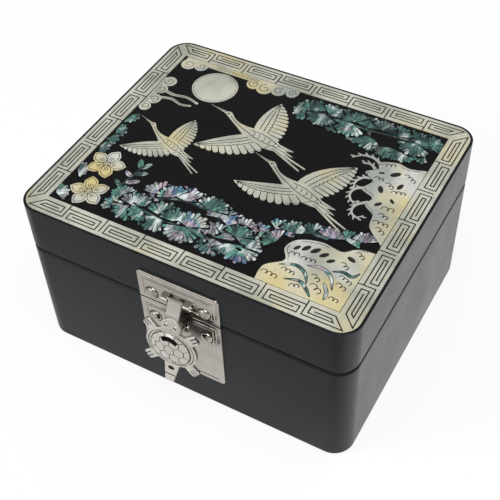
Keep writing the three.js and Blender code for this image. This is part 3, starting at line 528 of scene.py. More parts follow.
class Workpiece:
    """A mesh in millimetres that becomes one finished piece of the scene."""

    def __init__(self) -> None:
        """Starts with nothing on the bench."""
        self.bm = bmesh.new()

    def bevel(self, parts: Iterable, radius: float, segments: int, affect: str = "EDGES",
              clamp: bool = False) -> list[BMVert]:
        """Rounds edges or corners.

        Args:
            parts: the edges or vertices.
            radius: the rounding.
            segments: its facets.
            affect: EDGES or VERTICES.
            clamp: whether roundings that meet are held back.

        Returns:
            The new vertices.
        """
        return bmesh.ops.bevel(self.bm, geom=list(parts), offset=radius, offset_type="OFFSET",
                               segments=segments, profile=0.5, affect=affect,
                               clamp_overlap=clamp, material=-1)["verts"]

    def plate(self, width: float, depth: float, radius: float, z: float = 0, segments: int = 12,
              rounded: Callable[[Vector], bool] = lambda corner: True) -> Face:
        """Lays a flat rounded rectangle that faces up.

        Args:
            width, depth: its size along X and Y.
            radius: its corner radius.
            z: its height.
            segments: facets in each corner.
            rounded: says which corners are rounded.

        Returns:
            The face.
        """
        made = bmesh.ops.create_grid(self.bm, x_segments=1, y_segments=1, size=0.5)["verts"]
        bmesh.ops.scale(self.bm, vec=(width, depth, 1), verts=made)
        bmesh.ops.translate(self.bm, vec=(0, 0, z), verts=made)
        if radius > 0:
            made = self.bevel((v for v in made if rounded(v.co)), radius, segments, "VERTICES")
        return max(made[0].link_faces, key=lambda f: f.calc_area())

    def outline(self, points: Iterable[Sequence[float]], z: float = 0) -> Face:
        """Lays a flat face that faces up.

        Args:
            points: its outline in plan.
            z: its height.

        Returns:
            The face.
        """
        face = self.bm.faces.new([self.bm.verts.new((p[0], p[1], z)) for p in points])
        face.normal_update()
        if face.normal.z < 0:
            face.normal_flip()
        return face

    def raised(self, face: Face, height: float) -> Face:
        """Turns a flat face into a slab by pushing a copy of it along Z.

        Args:
            face: the flat face, which stays as the slab's other side.
            height: how far the copy goes.

        Returns:
            The pushed face.
        """
        made = bmesh.ops.extrude_face_region(self.bm, geom=[face], use_keep_orig=True)["geom"]
        moved = [v for v in made if isinstance(v, BMVert)]
        bmesh.ops.translate(self.bm, vec=(0, 0, height), verts=moved)
        return next(f for f in moved[0].link_faces if set(moved).issuperset(f.verts))

    def follow(self, face: Face, *steps: Point) -> Face:
        """Carries a face inwards and up, leaving a band behind each step.

        Args:
            face: the face.
            steps: (inset, rise) of each step.

        Returns:
            The face.
        """
        for inset, rise in steps:
            bmesh.ops.inset_region(self.bm, faces=[face], thickness=inset, depth=0,
                                   use_even_offset=True, use_boundary=True)
            bmesh.ops.translate(self.bm, vec=(0, 0, rise), verts=list(face.verts))
        return face

    def framed(self, face: Face, across: float, along: float, z: float) -> Face:
        """Carries a face inwards by unlike margins, leaving a frame behind it.

        Args:
            face: the face.
            across, along: margins in X and Y.
            z: its new level.

        Returns:
            The face.
        """
        self.follow(face, (0, 0))
        reach_x = max(abs(v.co.x) for v in face.verts)
        reach_y = max(abs(v.co.y) for v in face.verts)
        for vertex in face.verts:
            vertex.co.x *= (reach_x - across) / reach_x
            vertex.co.y *= (reach_y - along) / reach_y
            vertex.co.z = z
        return face

    def eased(self, chosen: Callable[[Vector], bool], radius: float, segments: int = 3) -> None:
        """Rounds the edges whose two ends pass a test.

        Args:
            chosen: the test.
            radius: the rounding.
            segments: its facets.
        """
        edges = (e for e in self.bm.edges if all(chosen(v.co) for v in e.verts))
        self.bevel(edges, radius, segments, clamp=True)

    def opened(self, *faces: Face) -> None:
        """Takes two facing faces away and joins what is left."""
        bmesh.ops.delete(self.bm, geom=faces, context="FACES_ONLY")
        bmesh.ops.remove_doubles(self.bm, verts=self.bm.verts, dist=0.02)

    def moved(self, place: Matrix, kept: Iterable[BMVert] = ()) -> None:
        """Turns and shifts all vertices but the kept ones."""
        bmesh.ops.transform(self.bm, matrix=place,
                            verts=[v for v in self.bm.verts if v not in kept])

    def mesh(self, name: str, scale: float = 1) -> bpy.types.Mesh:
        """Takes the work off the bench.

        Args:
            name: the mesh's name.
            scale: scale to apply.

        Returns:
            The mesh, whose faces point outwards.
        """
        bmesh.ops.scale(self.bm, vec=(scale, scale, scale), verts=self.bm.verts)
        bmesh.ops.recalc_face_normals(self.bm, faces=self.bm.faces)
        made = bpy.data.meshes.new(name)
        self.bm.to_mesh(made)
        self.bm.free()
        return made

    def finish(self, name: str, body: Body, material: Material, slot: str,
               replaces: Sequence[str] = (), smooth: float = 32) -> Piece:
        """Makes the piece: its place in metres, its material and what it rides on.

        Args:
            name: the piece's name.
            body: the body that it rides on.
            material: its finish.
            slot: not used.
            replaces: CAD nodes that it stands for.
            smooth: edges bent less than this many degrees are shaded smooth.

        Returns:
            The finished object.
        """
        mesh = self.mesh(name, MM)
        mesh.shade_smooth()
        mesh.set_sharp_from_angle(angle=math.radians(smooth))
        mesh.materials.append(material)
        piece = linked(name, mesh)
        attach(piece, body.value)
        if replaces:
            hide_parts(*replaces)
        LOG.info("%s: %d faces on %s", name, len(mesh.polygons), body.value)
        return piece


def weighted(piece: Piece) -> Piece:
    """Keeps broad flats flat beside their rounded edges."""
    piece.modifiers.new("weighted", "WEIGHTED_NORMAL").keep_sharp = True
    return piece


# Woodwork


@dataclass
class Carcass:
    """The two lacquered wall frames, rebuilt from the frame's boxes with round corners."""

    corner_radius: float = 9.5
    wall: float = 8.5
    board_inset: float = 4.5
    seam_round: float = 1.5
    top_round: float = 0.9
    foot_round: float = 1.0
    rim: float = 1.1
    corner_facets: int = 20
    edge_facets: int = 5

    def build(self, finishes: Finishes) -> None:
        """Builds the base walls and the lid walls.

        Args:
            finishes: the materials.
        """
        satin = finishes.slots["black_lacquer"]
        self.walls("base_walls", "base_frame", "base_board", Body.BASE, satin)
        self.walls("lid_walls", "lid_frame", "lid_board", Body.LID, satin)

    def walls(self, name: str, node: str, board: str, body: Body, material: Material) -> None:
        """Builds one frame of walls with its rebate for a board.

        Args:
            name: the piece's name.
            node: the CAD node that it stands for.
            board: the CAD node that sits in its rebate.
            body: the body that it rides on.
            material: its lacquer.
        """
        low, high = box(node)
        board_low, board_high = box(board)
        width, depth = high.x - low.x, high.y - low.y
        ledge = self.wall - self.board_inset
        work = Workpiece()
        bottom = work.plate(width, depth, self.corner_radius, low.z, self.corner_facets)
        top = work.raised(bottom, high.z - low.z)
        if body is Body.LID:
            work.follow(top, (self.rim, 0), (0, board_high.z - high.z),
                        (self.board_inset - self.rim, 0), (0, board_low.z - board_high.z),
                        (ledge, 0))
            work.follow(bottom, (self.wall, 0), (0, board_low.z - low.z))
            rounds = ((low.z, self.seam_round), (high.z, self.top_round))
        else:
            work.follow(top, (self.wall, 0), (0, board_high.z - high.z))
            work.follow(bottom, (self.board_inset, 0), (0, board_high.z - low.z), (ledge, 0))
            rounds = ((low.z, self.foot_round), (high.z, self.seam_round))
        work.opened(top, bottom)
        reach_x = width / 2 - self.corner_radius * 0.3
        reach_y = depth / 2 - self.corner_radius * 0.3
        for z, radius in rounds:
            work.eased(lambda p, z=z: abs(p.z - z) < 0.01 and (
                abs(p.x) > reach_x or abs(p.y) > reach_y), radius, self.edge_facets)
        weighted(work.finish(name, body, material, "black_lacquer", [node], 50))


# Inlaid picture


def bezier(points: Sequence[Point], share: float) -> Vector:
    """Works out a point on a cubic curve.

    Args:
        points: its four control points.
        share: how far along it, from 0 to 1.

    Returns:
        The point.
    """
    a, b, c, d = (Vector(p) for p in points)
    rest = 1 - share
    return a * rest**3 + b * 3 * rest**2 * share + c * 3 * rest * share**2 + d * share**3


def swept(points: Sequence[Point], steps: int) -> Line:
    """Points along a cubic curve."""
    return [bezier(points, i / steps) for i in range(steps + 1)]


def flowing(points: Sequence[Sequence[float]], steps: int = 6) -> Line:
    """Draws a smooth open line.

    Args:
        points: what it passes through.
        steps: its parts between two of them.

    Returns:
        The line.
    """
    spots = [Vector(p) for p in points]
    line = []
    for i in range(len(spots) - 1):
        before, start, end, after = (spots[min(max(i + k, 0), len(spots) - 1)]
                                     for k in (-1, 0, 1, 2))
        for t in (step / steps for step in range(steps)):
            line.append(0.5 * (2 * start + (end - before) * t
                               + (2 * before - 5 * start + 4 * end - after) * t * t
                               + (3 * start - before - 3 * end + after) * t**3))
    return [*line, spots[-1]]


def swing(degrees: float) -> Matrix:
    """Turn in plan."""
    return Matrix.Rotation(math.radians(degrees), 2)


def polar(angle: float, reach: float) -> Vector:
    """Vector in plan at an angle in degrees."""
    turn = math.radians(angle)
    return Vector((math.cos(turn), math.sin(turn))) * reach


def arc(centre: Vector, reach: float, start: float = 0, sweep: float = 360,
        end_reach: float | None = None, steps: int = 20) -> Line:
    """Draws an arc.

    Args:
        centre: its centre.
        reach: its radius.
        start, sweep: where it starts and how far it goes, in degrees.
        end_reach: its radius at the far end, for one that winds inwards.
        steps: its facets.

    Returns:
        The line.
    """
    last = reach if end_reach is None else end_reach
    return [centre + polar(start + sweep * i / steps, reach + (last - reach) * i / steps)
            for i in range(steps + 1)]


def circle(centre: Vector, reach: float, steps: int = 20) -> Line:
    """Outline of a circle."""
    return arc(centre, reach, steps=steps)[:-1]


def oval(across: float, along: float, steps: int = 20, y: float = 0) -> list[Point]:
    """Outline of an oval about (0, y)."""
    return [(across * math.cos(t), along * math.sin(t) + y)
            for t in (2 * math.pi * i / steps for i in range(steps))]


def mirrored(side: Line) -> Line:
    """Outline made of one side and its mirror image across Y."""
    return [*side, *(Vector((-p.x, p.y)) for p in reversed(side))]


def inside(point: Vector, outline: Line) -> bool:
    """Tells whether a point lies within an outline.

    Args:
        point: the point.
        outline: the outline.

    Returns:
        True when it does.
    """
    crossings = 0
    for a, b in zip(outline, [*outline[1:], outline[0]]):
        if (a.y > point.y) != (b.y > point.y):
            crossings += point.x < a.x + (point.y - a.y) * (b.x - a.x) / (b.y - a.y)
    return crossings % 2 == 1


class Sheet(Workpiece):
    """Cut shapes of one material, laid flat at given levels and then given their thickness."""

    def __init__(self, tone: str = "") -> None:
        """Starts an empty sheet, with a tone for each cut when a name is given."""
        super().__init__()
        self.tone = self.bm.faces.layers.float.new(tone) if tone else None

    def cut(self, points: Iterable[Sequence[float]], z: float, tone: float = 0) -> None:
        """Lays one cut shape.

        Args:
            points: its outline.
            z: its level.
            tone: its tone.
        """
        face = self.outline(points, z)
        if self.tone is not None:
            face[self.tone] = tone

    def line(self, points: Line, z: float, width: float, end: float | None = None) -> None:
        """Lays a strip along a line by carrying its first edge from point to point.

        Args:
            points: the line.
            z: its level.
            width: its width at the start.
            end: its width at the far end, the same if left out.
        """
        last = width if end is None else end
        rail: list[BMVert] = []
        for i, point in enumerate(points):
            leaving = points[min(i + 1, len(points) - 1)] - point
            arriving = point - points[max(i - 1, 0)] if i else leaving
            leaving = leaving if leaving.length else arriving
            along = (arriving.normalized() + leaving.normalized()).normalized()
            side = Vector((-along.y, along.x))
            mitre = max(along.dot(arriving.normalized()), 0.4)
            side *= (width + (last - width) * i / (len(points) - 1)) / 2 / mitre
            left, right = (*(point + side), z), (*(point - side), z)
            if not rail:
                rail = [self.bm.verts.new(left), self.bm.verts.new(right)]
                edge = self.bm.edges.new(rail)
                continue
            made = bmesh.ops.extrude_edge_only(self.bm, edges=[edge])["geom"]
            fresh = {g for g in made if isinstance(g, BMVert)}
            rail = [next(e.other_vert(old) for e in old.link_edges if e.other_vert(old) in fresh)
                    for old in rail]
            rail[0].co, rail[1].co = left, right
            edge = next(e for e in rail[0].link_edges if e.other_vert(rail[0]) is rail[1])

    def thicken(self, bottom: float) -> None:
        """Closes every cut into a slab.

        Args:
            bottom: the level that the slabs reach down to.
        """
        for face in self.bm.faces:
            face.normal_update()
            if face.normal.z < 0:
                face.normal_flip()
        made = bmesh.ops.extrude_face_region(self.bm, geom=list(self.bm.faces),
                                             use_keep_orig=True)["geom"]
        for vertex in (g for g in made if isinstance(g, BMVert)):
            vertex.co.z = bottom


Wing = tuple[Sequence[Point], Sequence[Point]]
Stroke = tuple[Line, float, float]


@dataclass(frozen=True)
class CraneFigure:
    """Flying crane that heads towards -X, drawn with its feathers."""

    wings: tuple[Wing, Wing]
    feathers: int = 11
    notch: float = 0.2
    row_steps: int = 44

    soaring = (
        (((-5, 3), (-6, 13), (1, 23), (13, 30)), ((13, 30), (17, 22), (18, 10), (10, 1))),
        (((-5, 1), (-13, -3), (-20, -7), (-31, -13)), ((-31, -13), (-20, -19), (-2, -18), (9, -3))),
    )
    gliding = (
        (((-5, 3), (-8, 11), (-8, 19), (-4, 28)), ((-4, 28), (5, 24), (12, 12), (10, 1))),
        (((-5, 0), (-12, -5), (-18, -11), (-25, -21)), ((-25, -21), (-12, -23), (4, -17), (9, -3))),
    )

    def within(self, wing: Wing, along: float, across: float) -> Vector:
        """Point of a wing, along its trailing edge from the tip and across to the leading edge."""
        return bezier(wing[1], along).lerp(bezier(wing[0], 1 - along), across)

    def wing_outline(self, wing: Wing) -> Line:
        """Draws a wing with a round end on each feather.

        Args:
            wing: its leading and trailing curves.

        Returns:
            The outline.
        """
        points = swept(wing[0], 8)
        for i in range(self.feathers):
            points += [self.within(wing, (i + share) / self.feathers, depth) for share, depth in (
                (0.08, 0.1), (0.22, 0.02), (0.4, 0.0), (0.62, 0.012), (0.82, 0.07))]
            if i < self.feathers - 1:
                points.append(self.within(wing, (i + 1) / self.feathers, self.notch))
        return [*points, bezier(wing[1], 1)]

    def wing_lines(self, wing: Wing) -> list[Stroke]:
        """Draws the engraved lines of a wing.

        Args:
            wing: its leading and trailing curves.

        Returns:
            Each line, with its width and end width.
        """
        lines = [([self.within(wing, i / self.feathers, self.notch * 0.6 + 0.07 * k)
                   for k in range(6)], 0.42, 0.2) for i in range(1, self.feathers)]
        for row, (depth, wave) in enumerate(((0.53, 0.05), (0.68, 0.045), (0.82, 0.03))):
            lines.append(([self.within(
                wing, 0.05 + 0.85 * k / self.row_steps,
                depth - wave * abs(math.sin(
                    math.pi * (self.feathers + 3 * row) * k / self.row_steps)),
            ) for k in range(self.row_steps + 1)], 0.3, 0.3))
        return lines

    def body_outline(self) -> Line:
        """Draws the bill, head, neck, body and tail.

        Returns:
            The outline.
        """
        return [
            *(Vector(p) for p in ((-35, 9.5), (-29, 8.9), (-24.6, 8.6), (-23.4, 9.3), (-22, 9.1))),
            *swept(((-20.6, 8), (-16, 3.6), (-11, 3.4), (-5, 4.4)), 8),
            *swept(((-5, 4.4), (0, 5.4), (7, 4), (12, 0.6)), 7)[1:],
            *(Vector(p) for p in ((21, -0.6), (16.5, -2.2), (22.5, -4), (16.5, -4.4), (20, -7.4))),
            *swept(((12.5, -4.8), (6, -6.6), (-4, -5.6), (-10, -1.2)), 7),
            *swept(((-10, -1.2), (-14, 1.4), (-18, 3.2), (-22, 5.6)), 7)[1:],
            *(Vector(p) for p in ((-23.4, 6.3), (-24.8, 7.2), (-29, 8.2))),
        ]

    def body_lines(self) -> list[Stroke]:
        """Draws the engraved lines of the body.

        Returns:
            Each line, with its width and end width.
        """
        lines = [(swept(curve, steps), width, end) for steps, width, end, *curve in (
            (10, 0.3, 0.3, (-21, 6.6), (-16, 3.4), (-12, 1.6), (-7, 0.4)),
            (10, 0.3, 0.3, (-7, 0.4), (-1, -2.4), (5, -2.8), (12, -2)),
            (10, 0.3, 0.3, (-6, 2.6), (0, 3.4), (6, 2.2), (13, -0.8)),
            (6, 0.3, 0.2, (12, -0.9), (15, -1.2), (17, -1), (19, -1)),
            (6, 0.3, 0.2, (11, -2.4), (14, -3), (17, -3.3), (20, -3.8)),
            (6, 0.3, 0.2, (10, -3.6), (13, -4.4), (15, -5), (18, -6.4)),
            (4, 0.26, 0.14, (-24.7, 8.0), (-28, 8.4), (-31, 8.9), (-34, 9.35)))]
        lines.append((arc(Vector((-23, 7.6)), 0.55, steps=12), 0.28, 0.28))
        for i in range(5):
            x, y = -4 + 3.2 * i, -0.3 * i
            lines.append((swept(((x, 1.9 + y), (x + 1.6, 1.4 + y), (x + 1.8, -0.2 + y),
                                 (x + 0.4, -0.9 + y)), 6), 0.26, 0.26))
        return lines

    def legs(self) -> list[Line]:
        """Centre lines of the two trailing legs."""
        return [[Vector((12, -3.2 - i)), Vector((23, -6.4 - 2 * i)),
                 Vector((32 - 2 * i, -8.4 - 2.6 * i))] for i in (0, 1)]


@dataclass(frozen=True)
class CragPlan:
    """One crag on the picture's grid.

    Its free edge, its corners along the border, (column, row, length, turn) of each hollow, and
    centre lines of the abalone blades let into it and of the pearl fronds that hang from it.
    """

    name: str
    edge: tuple
    corners: tuple
    hollows: tuple
    blades: tuple = ()
    fronds: tuple = ()


@dataclass
class InlayPicture:
    """Figures of pearl and abalone sheet, cut and engraved in the polished ground."""

    columns: int = 134
    rows: int = 109
    gap: float = 0.3
    border: float = 10.2
    corner: float = 9.5
    fans: tuple = (
        ("pine_top", (0.1, 0.42), (
            (58.4, 45.6, 8.5, 90), (45.6, 45.6, 8.6, 95), (32.8, 45.4, 8.6, 90),
            (20, 45.4, 8.6, 95), (56.5, 45, 8.8, 262), (26, 45, 9.4, 255), (12, 45, 8.8, 265),
            (7, 45.4, 8.4, 100), (5, 44.5, 8.4, 195), (39, 39.5, 8.4, 245), (47, 38, 8.2, 275),
            (13.5, 46.4, 7.4, 60), (26.6, 46.6, 7.4, 120), (39.2, 46.6, 7.4, 75),
            (52, 46.6, 7.2, 100), (60.6, 41.4, 7.6, 235), (31.5, 40.6, 7.6, 215),
            (53.4, 38.2, 7.4, 290), (19.4, 42.4, 7.2, 235), (61.4, 46.8, 6.6, 40))),
        ("pine_front", (0.36, 0.88), (
            (-38, -46, 7.6, 150), (-33, -44, 8.6, 262), (-20, -44, 9, 272), (-32, -43, 8.6, 100),
            (-19, -43, 9, 95), (-6, -43, 9, 95), (-7, -44, 9.4, 268), (6, -43, 9, 85),
            (7, -44, 9.4, 275), (19, -42, 8.4, 75), (19, -43, 9, 285), (-26, -33, 8.8, 110),
            (-15, -31, 9, 95), (-3, -31, 8.6, 85), (8, -35, 8.6, 80), (20, -35, 8.4, 75),
            (-24, -36, 7, 225), (-10, -36.5, 7.4, 275), (2, -36.5, 7.4, 250),
            (14.5, -39, 7.4, 95), (-20.5, -31.6, 7.6, 130), (-9, -30.6, 7.8, 70),
            (3.4, -32.4, 7.4, 120), (14, -34.6, 7.4, 60), (13, -43.6, 7, 300),
            (0, -43, 7, 250), (-13.2, -43.2, 7.2, 110), (-27, -44, 6.8, 235),
            (-39.6, -40, 6.4, 120))),
        ("pine_side", (0.22, 0.8), (
            (27.4, -28.6, 7.6, 70), (33.6, -26.6, 7.4, 100), (40.4, -24, 7.2, 75),
            (29.6, -33.4, 6.8, 160), (47.6, -22.6, 6.8, 95), (54, -20.8, 6.4, 60),
            (60.6, -18.6, 6, 105))),
        ("pine_left", (0.15, 0.6), (
            (-66.2, -6.4, 5.6, 15), (-66.4, -12.6, 5.6, -10), (-66.2, -18.8, 5, 10),
            (-66, 4.6, 5, -20), (-66.2, -35.4, 5.4, 25), (-65.6, -51.4, 6, 50))),
    )
    twigs: tuple = (
        ("pine_top", ((65, 45), (50, 46), (32, 44.4), (14, 45.6), (4, 44.6))),
        ("pine_top", ((34, 44.4), (38, 38), (46, 36))),
        ("pine_front", ((-42, -47), (-30, -43.5), (-16, -45), (-4, -43.5), (8, -45), (22, -42))),
        ("pine_front", ((-26, -44), (-27, -36), (-16, -31), (-2, -31.5), (10, -36), (22, -35))),
        ("pine_front", ((-40, -47), (-43.6, -37), (-42, -22))),
    )
    leaves: tuple = (
        (-43.4, -36, 5.4, 150), (-43, -33, 6, 35), (-42.6, -29, 5, 155), (-42.6, -27, 6, 30),
        (-42.2, -23, 6, 120), (-42, -23, 5.6, 60),
    )
    puffs_left: tuple = ((-63.4, 34, 3.4), (-63.8, 27.5, 3), (-63.2, 20, 3.4), (-64, 13.5, 2.8))
    puffs_top: tuple = ((-62.4, 49.6, 3.8), (-56, 50.6, 3.2), (-27, 50.2, 3.6), (-21, 49.4, 4),
                        (-14.4, 50.6, 3.4), (-8, 51.6, 2.8))
    streamers: tuple = (
        (3, (-65.5, 36), (-65.5, 24), (-65.5, 12)),
        (1.7, (-64, 28), (-57, 26.4), (-50, 27.4), (-43, 25.6)),
        (1.5, (-63, 21.5), (-56, 23.4), (-50, 21.8), (-45, 23)),
    )
    crags: tuple[CragPlan, ...] = (
        CragPlan(
            "crag_right",
            ((67, 31), (60, 29), (54, 30), (47, 27), (48, 23), (44, 19), (49, 15), (47, 9),
             (53, 6), (52, 1), (57, -3), (59, -10), (67, -17)),
            (),
            ((56, 23, 5, 40), (54, 12, 4.4, -60), (60.6, 17, 4, 75), (56.6, 3.6, 3.6, 50),
             (50.4, 21.4, 2.6, 20), (61, 7.6, 3, -40)),
            fronds=(((48, 26), (44, 28.4), (39, 28.2), (35, 24.8)),
                    ((47, 22.4), (44, 24.4), (40.6, 23.6)),
                    ((47.6, 16.6), (44.4, 15.2), (42.8, 11.4), (43.8, 7.6)),
                    ((48.6, 10.4), (44.6, 8), (43.8, 3.8), (46.4, 0.4), (49, 1.8)),
                    ((52.6, 3), (48.8, -0.6), (48.6, -5), (51.8, -7.2), (54, -5)))),
        CragPlan(
            "crag_front",
            ((67, -22), (60, -23), (55, -27), (46, -26), (37, -29), (34, -35), (37, -41),
             (31, -47), (31, -54.5)),
            ((67, -54.5),),
            ((38.4, -33, 3.4, 60), (41.8, -31.6, 4.2, 55), (45.6, -31.2, 4.6, 50),
             (49.6, -31.8, 4.2, 45), (53.2, -33.4, 3.6, 40), (60, -29, 4, -20)),
            blades=(((36, -44), (42, -41.4), (47, -43.4), (50, -48)),
                    ((41, -49.6), (47, -48), (51, -50.4), (54, -53.4)),
                    ((46, -39.6), (52, -38.2), (57, -41), (60, -46.6)),
                    ((56, -38), (60, -36.4), (64, -37), (66, -34)),
                    ((55.6, -44.4), (58.6, -48.4), (59.2, -52.4)))),
    )
    needles: int = 10
    spread: float = 150
    hub: float = 0.3
    fan_margin: float = 1.07
    needle_length: tuple = (0.985, 0.1, 0.04)
    needle_tone: float = 0.06
    needle_bend: float = 1
    stroke_scale: float = 1.3
    puff_scroll: tuple = (0.74, 0.18, 420)
    rock_rim: float = 1.1
    scallop_tries: int = 2400
    scallop_radius: Point = (1.1, 1.7)
    scallop_heading: float = 35
    scallop_pitch: float = 1.75
    scallop_margin: float = 0.8
    scallop_apart: float = 0.5
    seed: int = 11
    fret_depths: tuple = (3, 4.75, 6.2, 8)
    fret_step: float = 2
    fret_mitres: Point = (2.8, 5.6)
    fret_width: float = 0.56
    line_drop: float = 0.002
    figure_drop: float = 0.02

    def build(self, finishes: Finishes, record: dict) -> None:
        """Builds every figure.

        Args:
            finishes: the materials.
            record: the part's record, for the slot of each node.
        """
        low, high = box("lid_frame")
        self.width, self.depth = high.x - low.x, high.y - low.y
        self.pitch_x = (self.width - 2 * (self.border + self.gap)) / self.columns
        self.pitch_y = (self.depth - 2 * (self.border + self.gap)) / self.rows
        self.cell = min(self.pitch_x, self.pitch_y)
        self.ground = box("lid_board")[1].z
        self.face = box("pearl_border")[1].z
        self.top = self.face - self.figure_drop
        self.finishes = finishes
        self.slot_of = {row["node"]: row["material_slot"] for row in record["subparts"]}
        self.lines = Sheet()
        self.dice = random.Random(self.seed)
        self.fret_border()
        self.moon()
        self.clouds()
        self.crane("crane_1", CraneFigure(CraneFigure.gliding), -7, 18, -4, 0.88)
        self.crane("crane_2", CraneFigure(CraneFigure.soaring), 25, -4, -9, 0.86)
        self.crane("crane_3", CraneFigure(CraneFigure.gliding), -39.2, -4, -12, 0.68)
        for plan in self.crags:
            self.crag(plan)
        self.blossom("blossom_1", -57, -27, 12)
        self.blossom("blossom_2", -54, -44.6, 40)
        for name, tones, fans in self.fans:
            self.pine(name, tones, fans)
        self.lines.thicken(self.face - 0.1)
        self.lines.finish("engraved_lines", Body.LID, finishes.engraved, "field_lacquer")

    def spot(self, place: Sequence[float]) -> Vector:
        """Grid place in millimetres."""
        return Vector((place[0] * self.pitch_x, place[1] * self.pitch_y))

    def curve(self, places: Sequence[Point], steps: int = 6) -> Line:
        """Smooth line through grid places."""
        return flowing([self.spot(p) for p in places], steps)

    def laid(self, sheet: Sheet, name: str, suffix: str = "inlay", slot: str = "abalone",
             depth: float = 0) -> None:
        """Closes a sheet and finishes it.

        Args:
            sheet: the cut shapes.
            name: their CAD node, or a name of their own.
            suffix: "inlay" for the figures themselves, which take their node's own slot.
            slot: the slot of any other sheet.
            depth: how far above the ground its slabs stop.
        """
        nodes = [name] if suffix == "inlay" and name in self.slot_of else []
        slot = self.slot_of[name] if nodes else slot
        sheet.thicken(self.ground + depth)
        sheet.finish(f"{name}_{suffix}", Body.LID, self.finishes.slots[slot], slot, nodes, 20)

    def engrave(self, line: Line, width: float = 0.3, end: float | None = None) -> None:
        """Cuts one dark line into the face of the figures."""
        self.lines.line(line, self.face - self.line_drop, width, end)

    def fret_pair(self, start: float, unit: float, corner: float | None = None) -> list[Line]:
        """Draws two key-fret spirals about a shared divider, as (distance along, depth) lines.

        Args:
            start: where the first unit starts.
            unit: length of a unit.
            corner: the first divider, where the pair starts at a corner.

        Returns:
            The pair's lines.
        """
        d1, d2, d3, d4 = self.fret_depths
        step = self.fret_step
        shared = start + unit if corner is None else corner
        far = shared + unit

        def near(depth: float, turn: int) -> float:
            """Near end of a run at a depth, which a corner mitres."""
            return start + turn * step if corner is None else depth + self.fret_mitres[turn - 1]

        lines = (
            ((shared - 2 * step, d3), (near(d3, 2), d3), (near(d2, 2), d2), (shared - step, d2),
             (shared - step, d4), (near(d4, 1), d4), (near(d1, 1), d1), (shared, d1),
             (shared, self.border)),
            ((shared, d4), (far - step, d4), (far - step, d1), (shared + step, d1),
             (shared + step, d3), (far - 2 * step, d3), (far - 2 * step, d2),
             (shared + 2 * step, d2)),
            ((far, d1), (far, self.border)),
        )
        return [[Vector(p) for p in line] for line in lines]

    def fret_side(self, length: float, units: int, share: float) -> list[Line]:
        """Draws the fret lines of one side, whose far half mirrors its near half.

        Args:
            length: the side's length.
            units: its units.
            share: length of a corner unit against the mean.

        Returns:
            The side's lines.
        """
        corner = share * length / units
        unit = (length - 2 * corner) / (units - 2)
        pairs = units // 2
        near = (pairs + 1) // 2
        halves = [self.fret_pair(0, unit, corner)]
        halves += [self.fret_pair(corner + (2 * i - 1) * unit, unit) for i in range(1, near)]
        lines = [line for pair in halves for line in pair]
        for i in range(pairs - near):
            kept = halves[i][:2] if i == pairs - near - 1 else halves[i]
            lines += [[Vector((length - p.x, p.y)) for p in line] for line in kept]
        return lines

    def fret_border(self) -> None:
        """Lays the pearl border and engraves its key fret."""
        inset = box("pearl_border")[0].x - box("lid_frame")[0].x
        width, depth = self.width, self.depth
        sheet = Sheet()
        outer = sheet.plate(width - 2 * inset, depth - 2 * inset, self.corner - inset, self.top, 14)
        inner = sheet.plate(width - 2 * self.border, depth - 2 * self.border, 0, self.top)
        rims = [*outer.edges, *inner.edges]
        bmesh.ops.delete(sheet.bm, geom=[outer, inner], context="FACES_ONLY")
        bmesh.ops.bridge_loops(sheet.bm, edges=rims)
        self.laid(sheet, "pearl_border")
        for turn in (0, 90, 180, 270):
            length, across, units, share = (
                (depth, width, 6, 1.22) if turn % 180 else (width, depth, 8, 1.17))
            middle = Vector((length / 2, across / 2))
            for line in self.fret_side(length, units, share):
                self.engrave([swing(turn) @ (p - middle) for p in line], self.fret_width)

    def moon(self) -> None:
        """Lays the moon and engraves its rim."""
        sheet = Sheet()
        centre = self.spot((-42, 39.6))
        sheet.cut(circle(centre, 10.8 * self.cell, 72), self.top)
        self.laid(sheet, "moon_disc")
        self.engrave(arc(centre, 10.0 * self.cell, steps=72), 0.16)

    def puffs(self, sheet: Sheet, places: Sequence[Sequence[float]], start: float,
              turn: float) -> None:
        """Lays cloud puffs with a scroll cut in each, every one a hair lower than the one before.

        Args:
            sheet: their sheet.
            places: (column, row, radius) of each.
            start: where the first scroll starts, in degrees.
            turn: how far each scroll is turned from the one before.
        """
        wide, tight, sweep = self.puff_scroll
        for k, (column, row, radius) in enumerate(places):
            centre, reach = self.spot((column, row)), radius * self.cell
            sheet.cut(circle(centre, reach, 28), self.top - self.line_drop * k)
            self.engrave(arc(centre, reach * wide, start + turn * k, sweep, reach * tight, 34),
                         0.34, 0.26)

    def clouds(self) -> None:
        """Lays two cloud banks: puffs with scrolls, and streamers with centre lines."""
        left, top = Sheet(), Sheet()
        level = self.face - 0.034
        self.puffs(left, self.puffs_left, 200, 40)
        for width, *line in self.streamers:
            curve = self.curve(line)
            left.line(curve, level, width * self.cell, width * self.cell * 0.6)
            self.engrave(curve[3:-2], 0.26, 0.2)
        self.laid(left, "cloud_left")
        self.puffs(top, self.puffs_top, 250, -50)
        bar = self.curve(((-65.5, 52.9), (-38, 53), (-5, 52.9)))
        top.line(bar, level, 3 * self.cell)
        for lower in (0.5, -0.5):
            self.engrave([p + Vector((0, lower)) for p in bar[4:-4]], 0.24)
        self.laid(top, "cloud_top")

    def crane(self, name: str, figure: CraneFigure, column: float, row: float, turn: float,
              size: float) -> None:
        """Lays one crane and engraves it.

        Args:
            name: its CAD node.
            figure: its drawing.
            column, row: its grid place.
            turn: its turn in degrees.
            size: its scale on the grid.
        """
        middle = self.spot((column, row))

        def placed(points: Line) -> Line:
            """Points of the drawing, on the lid."""
            return [middle + swing(turn) @ (p * size * self.cell) for p in points]

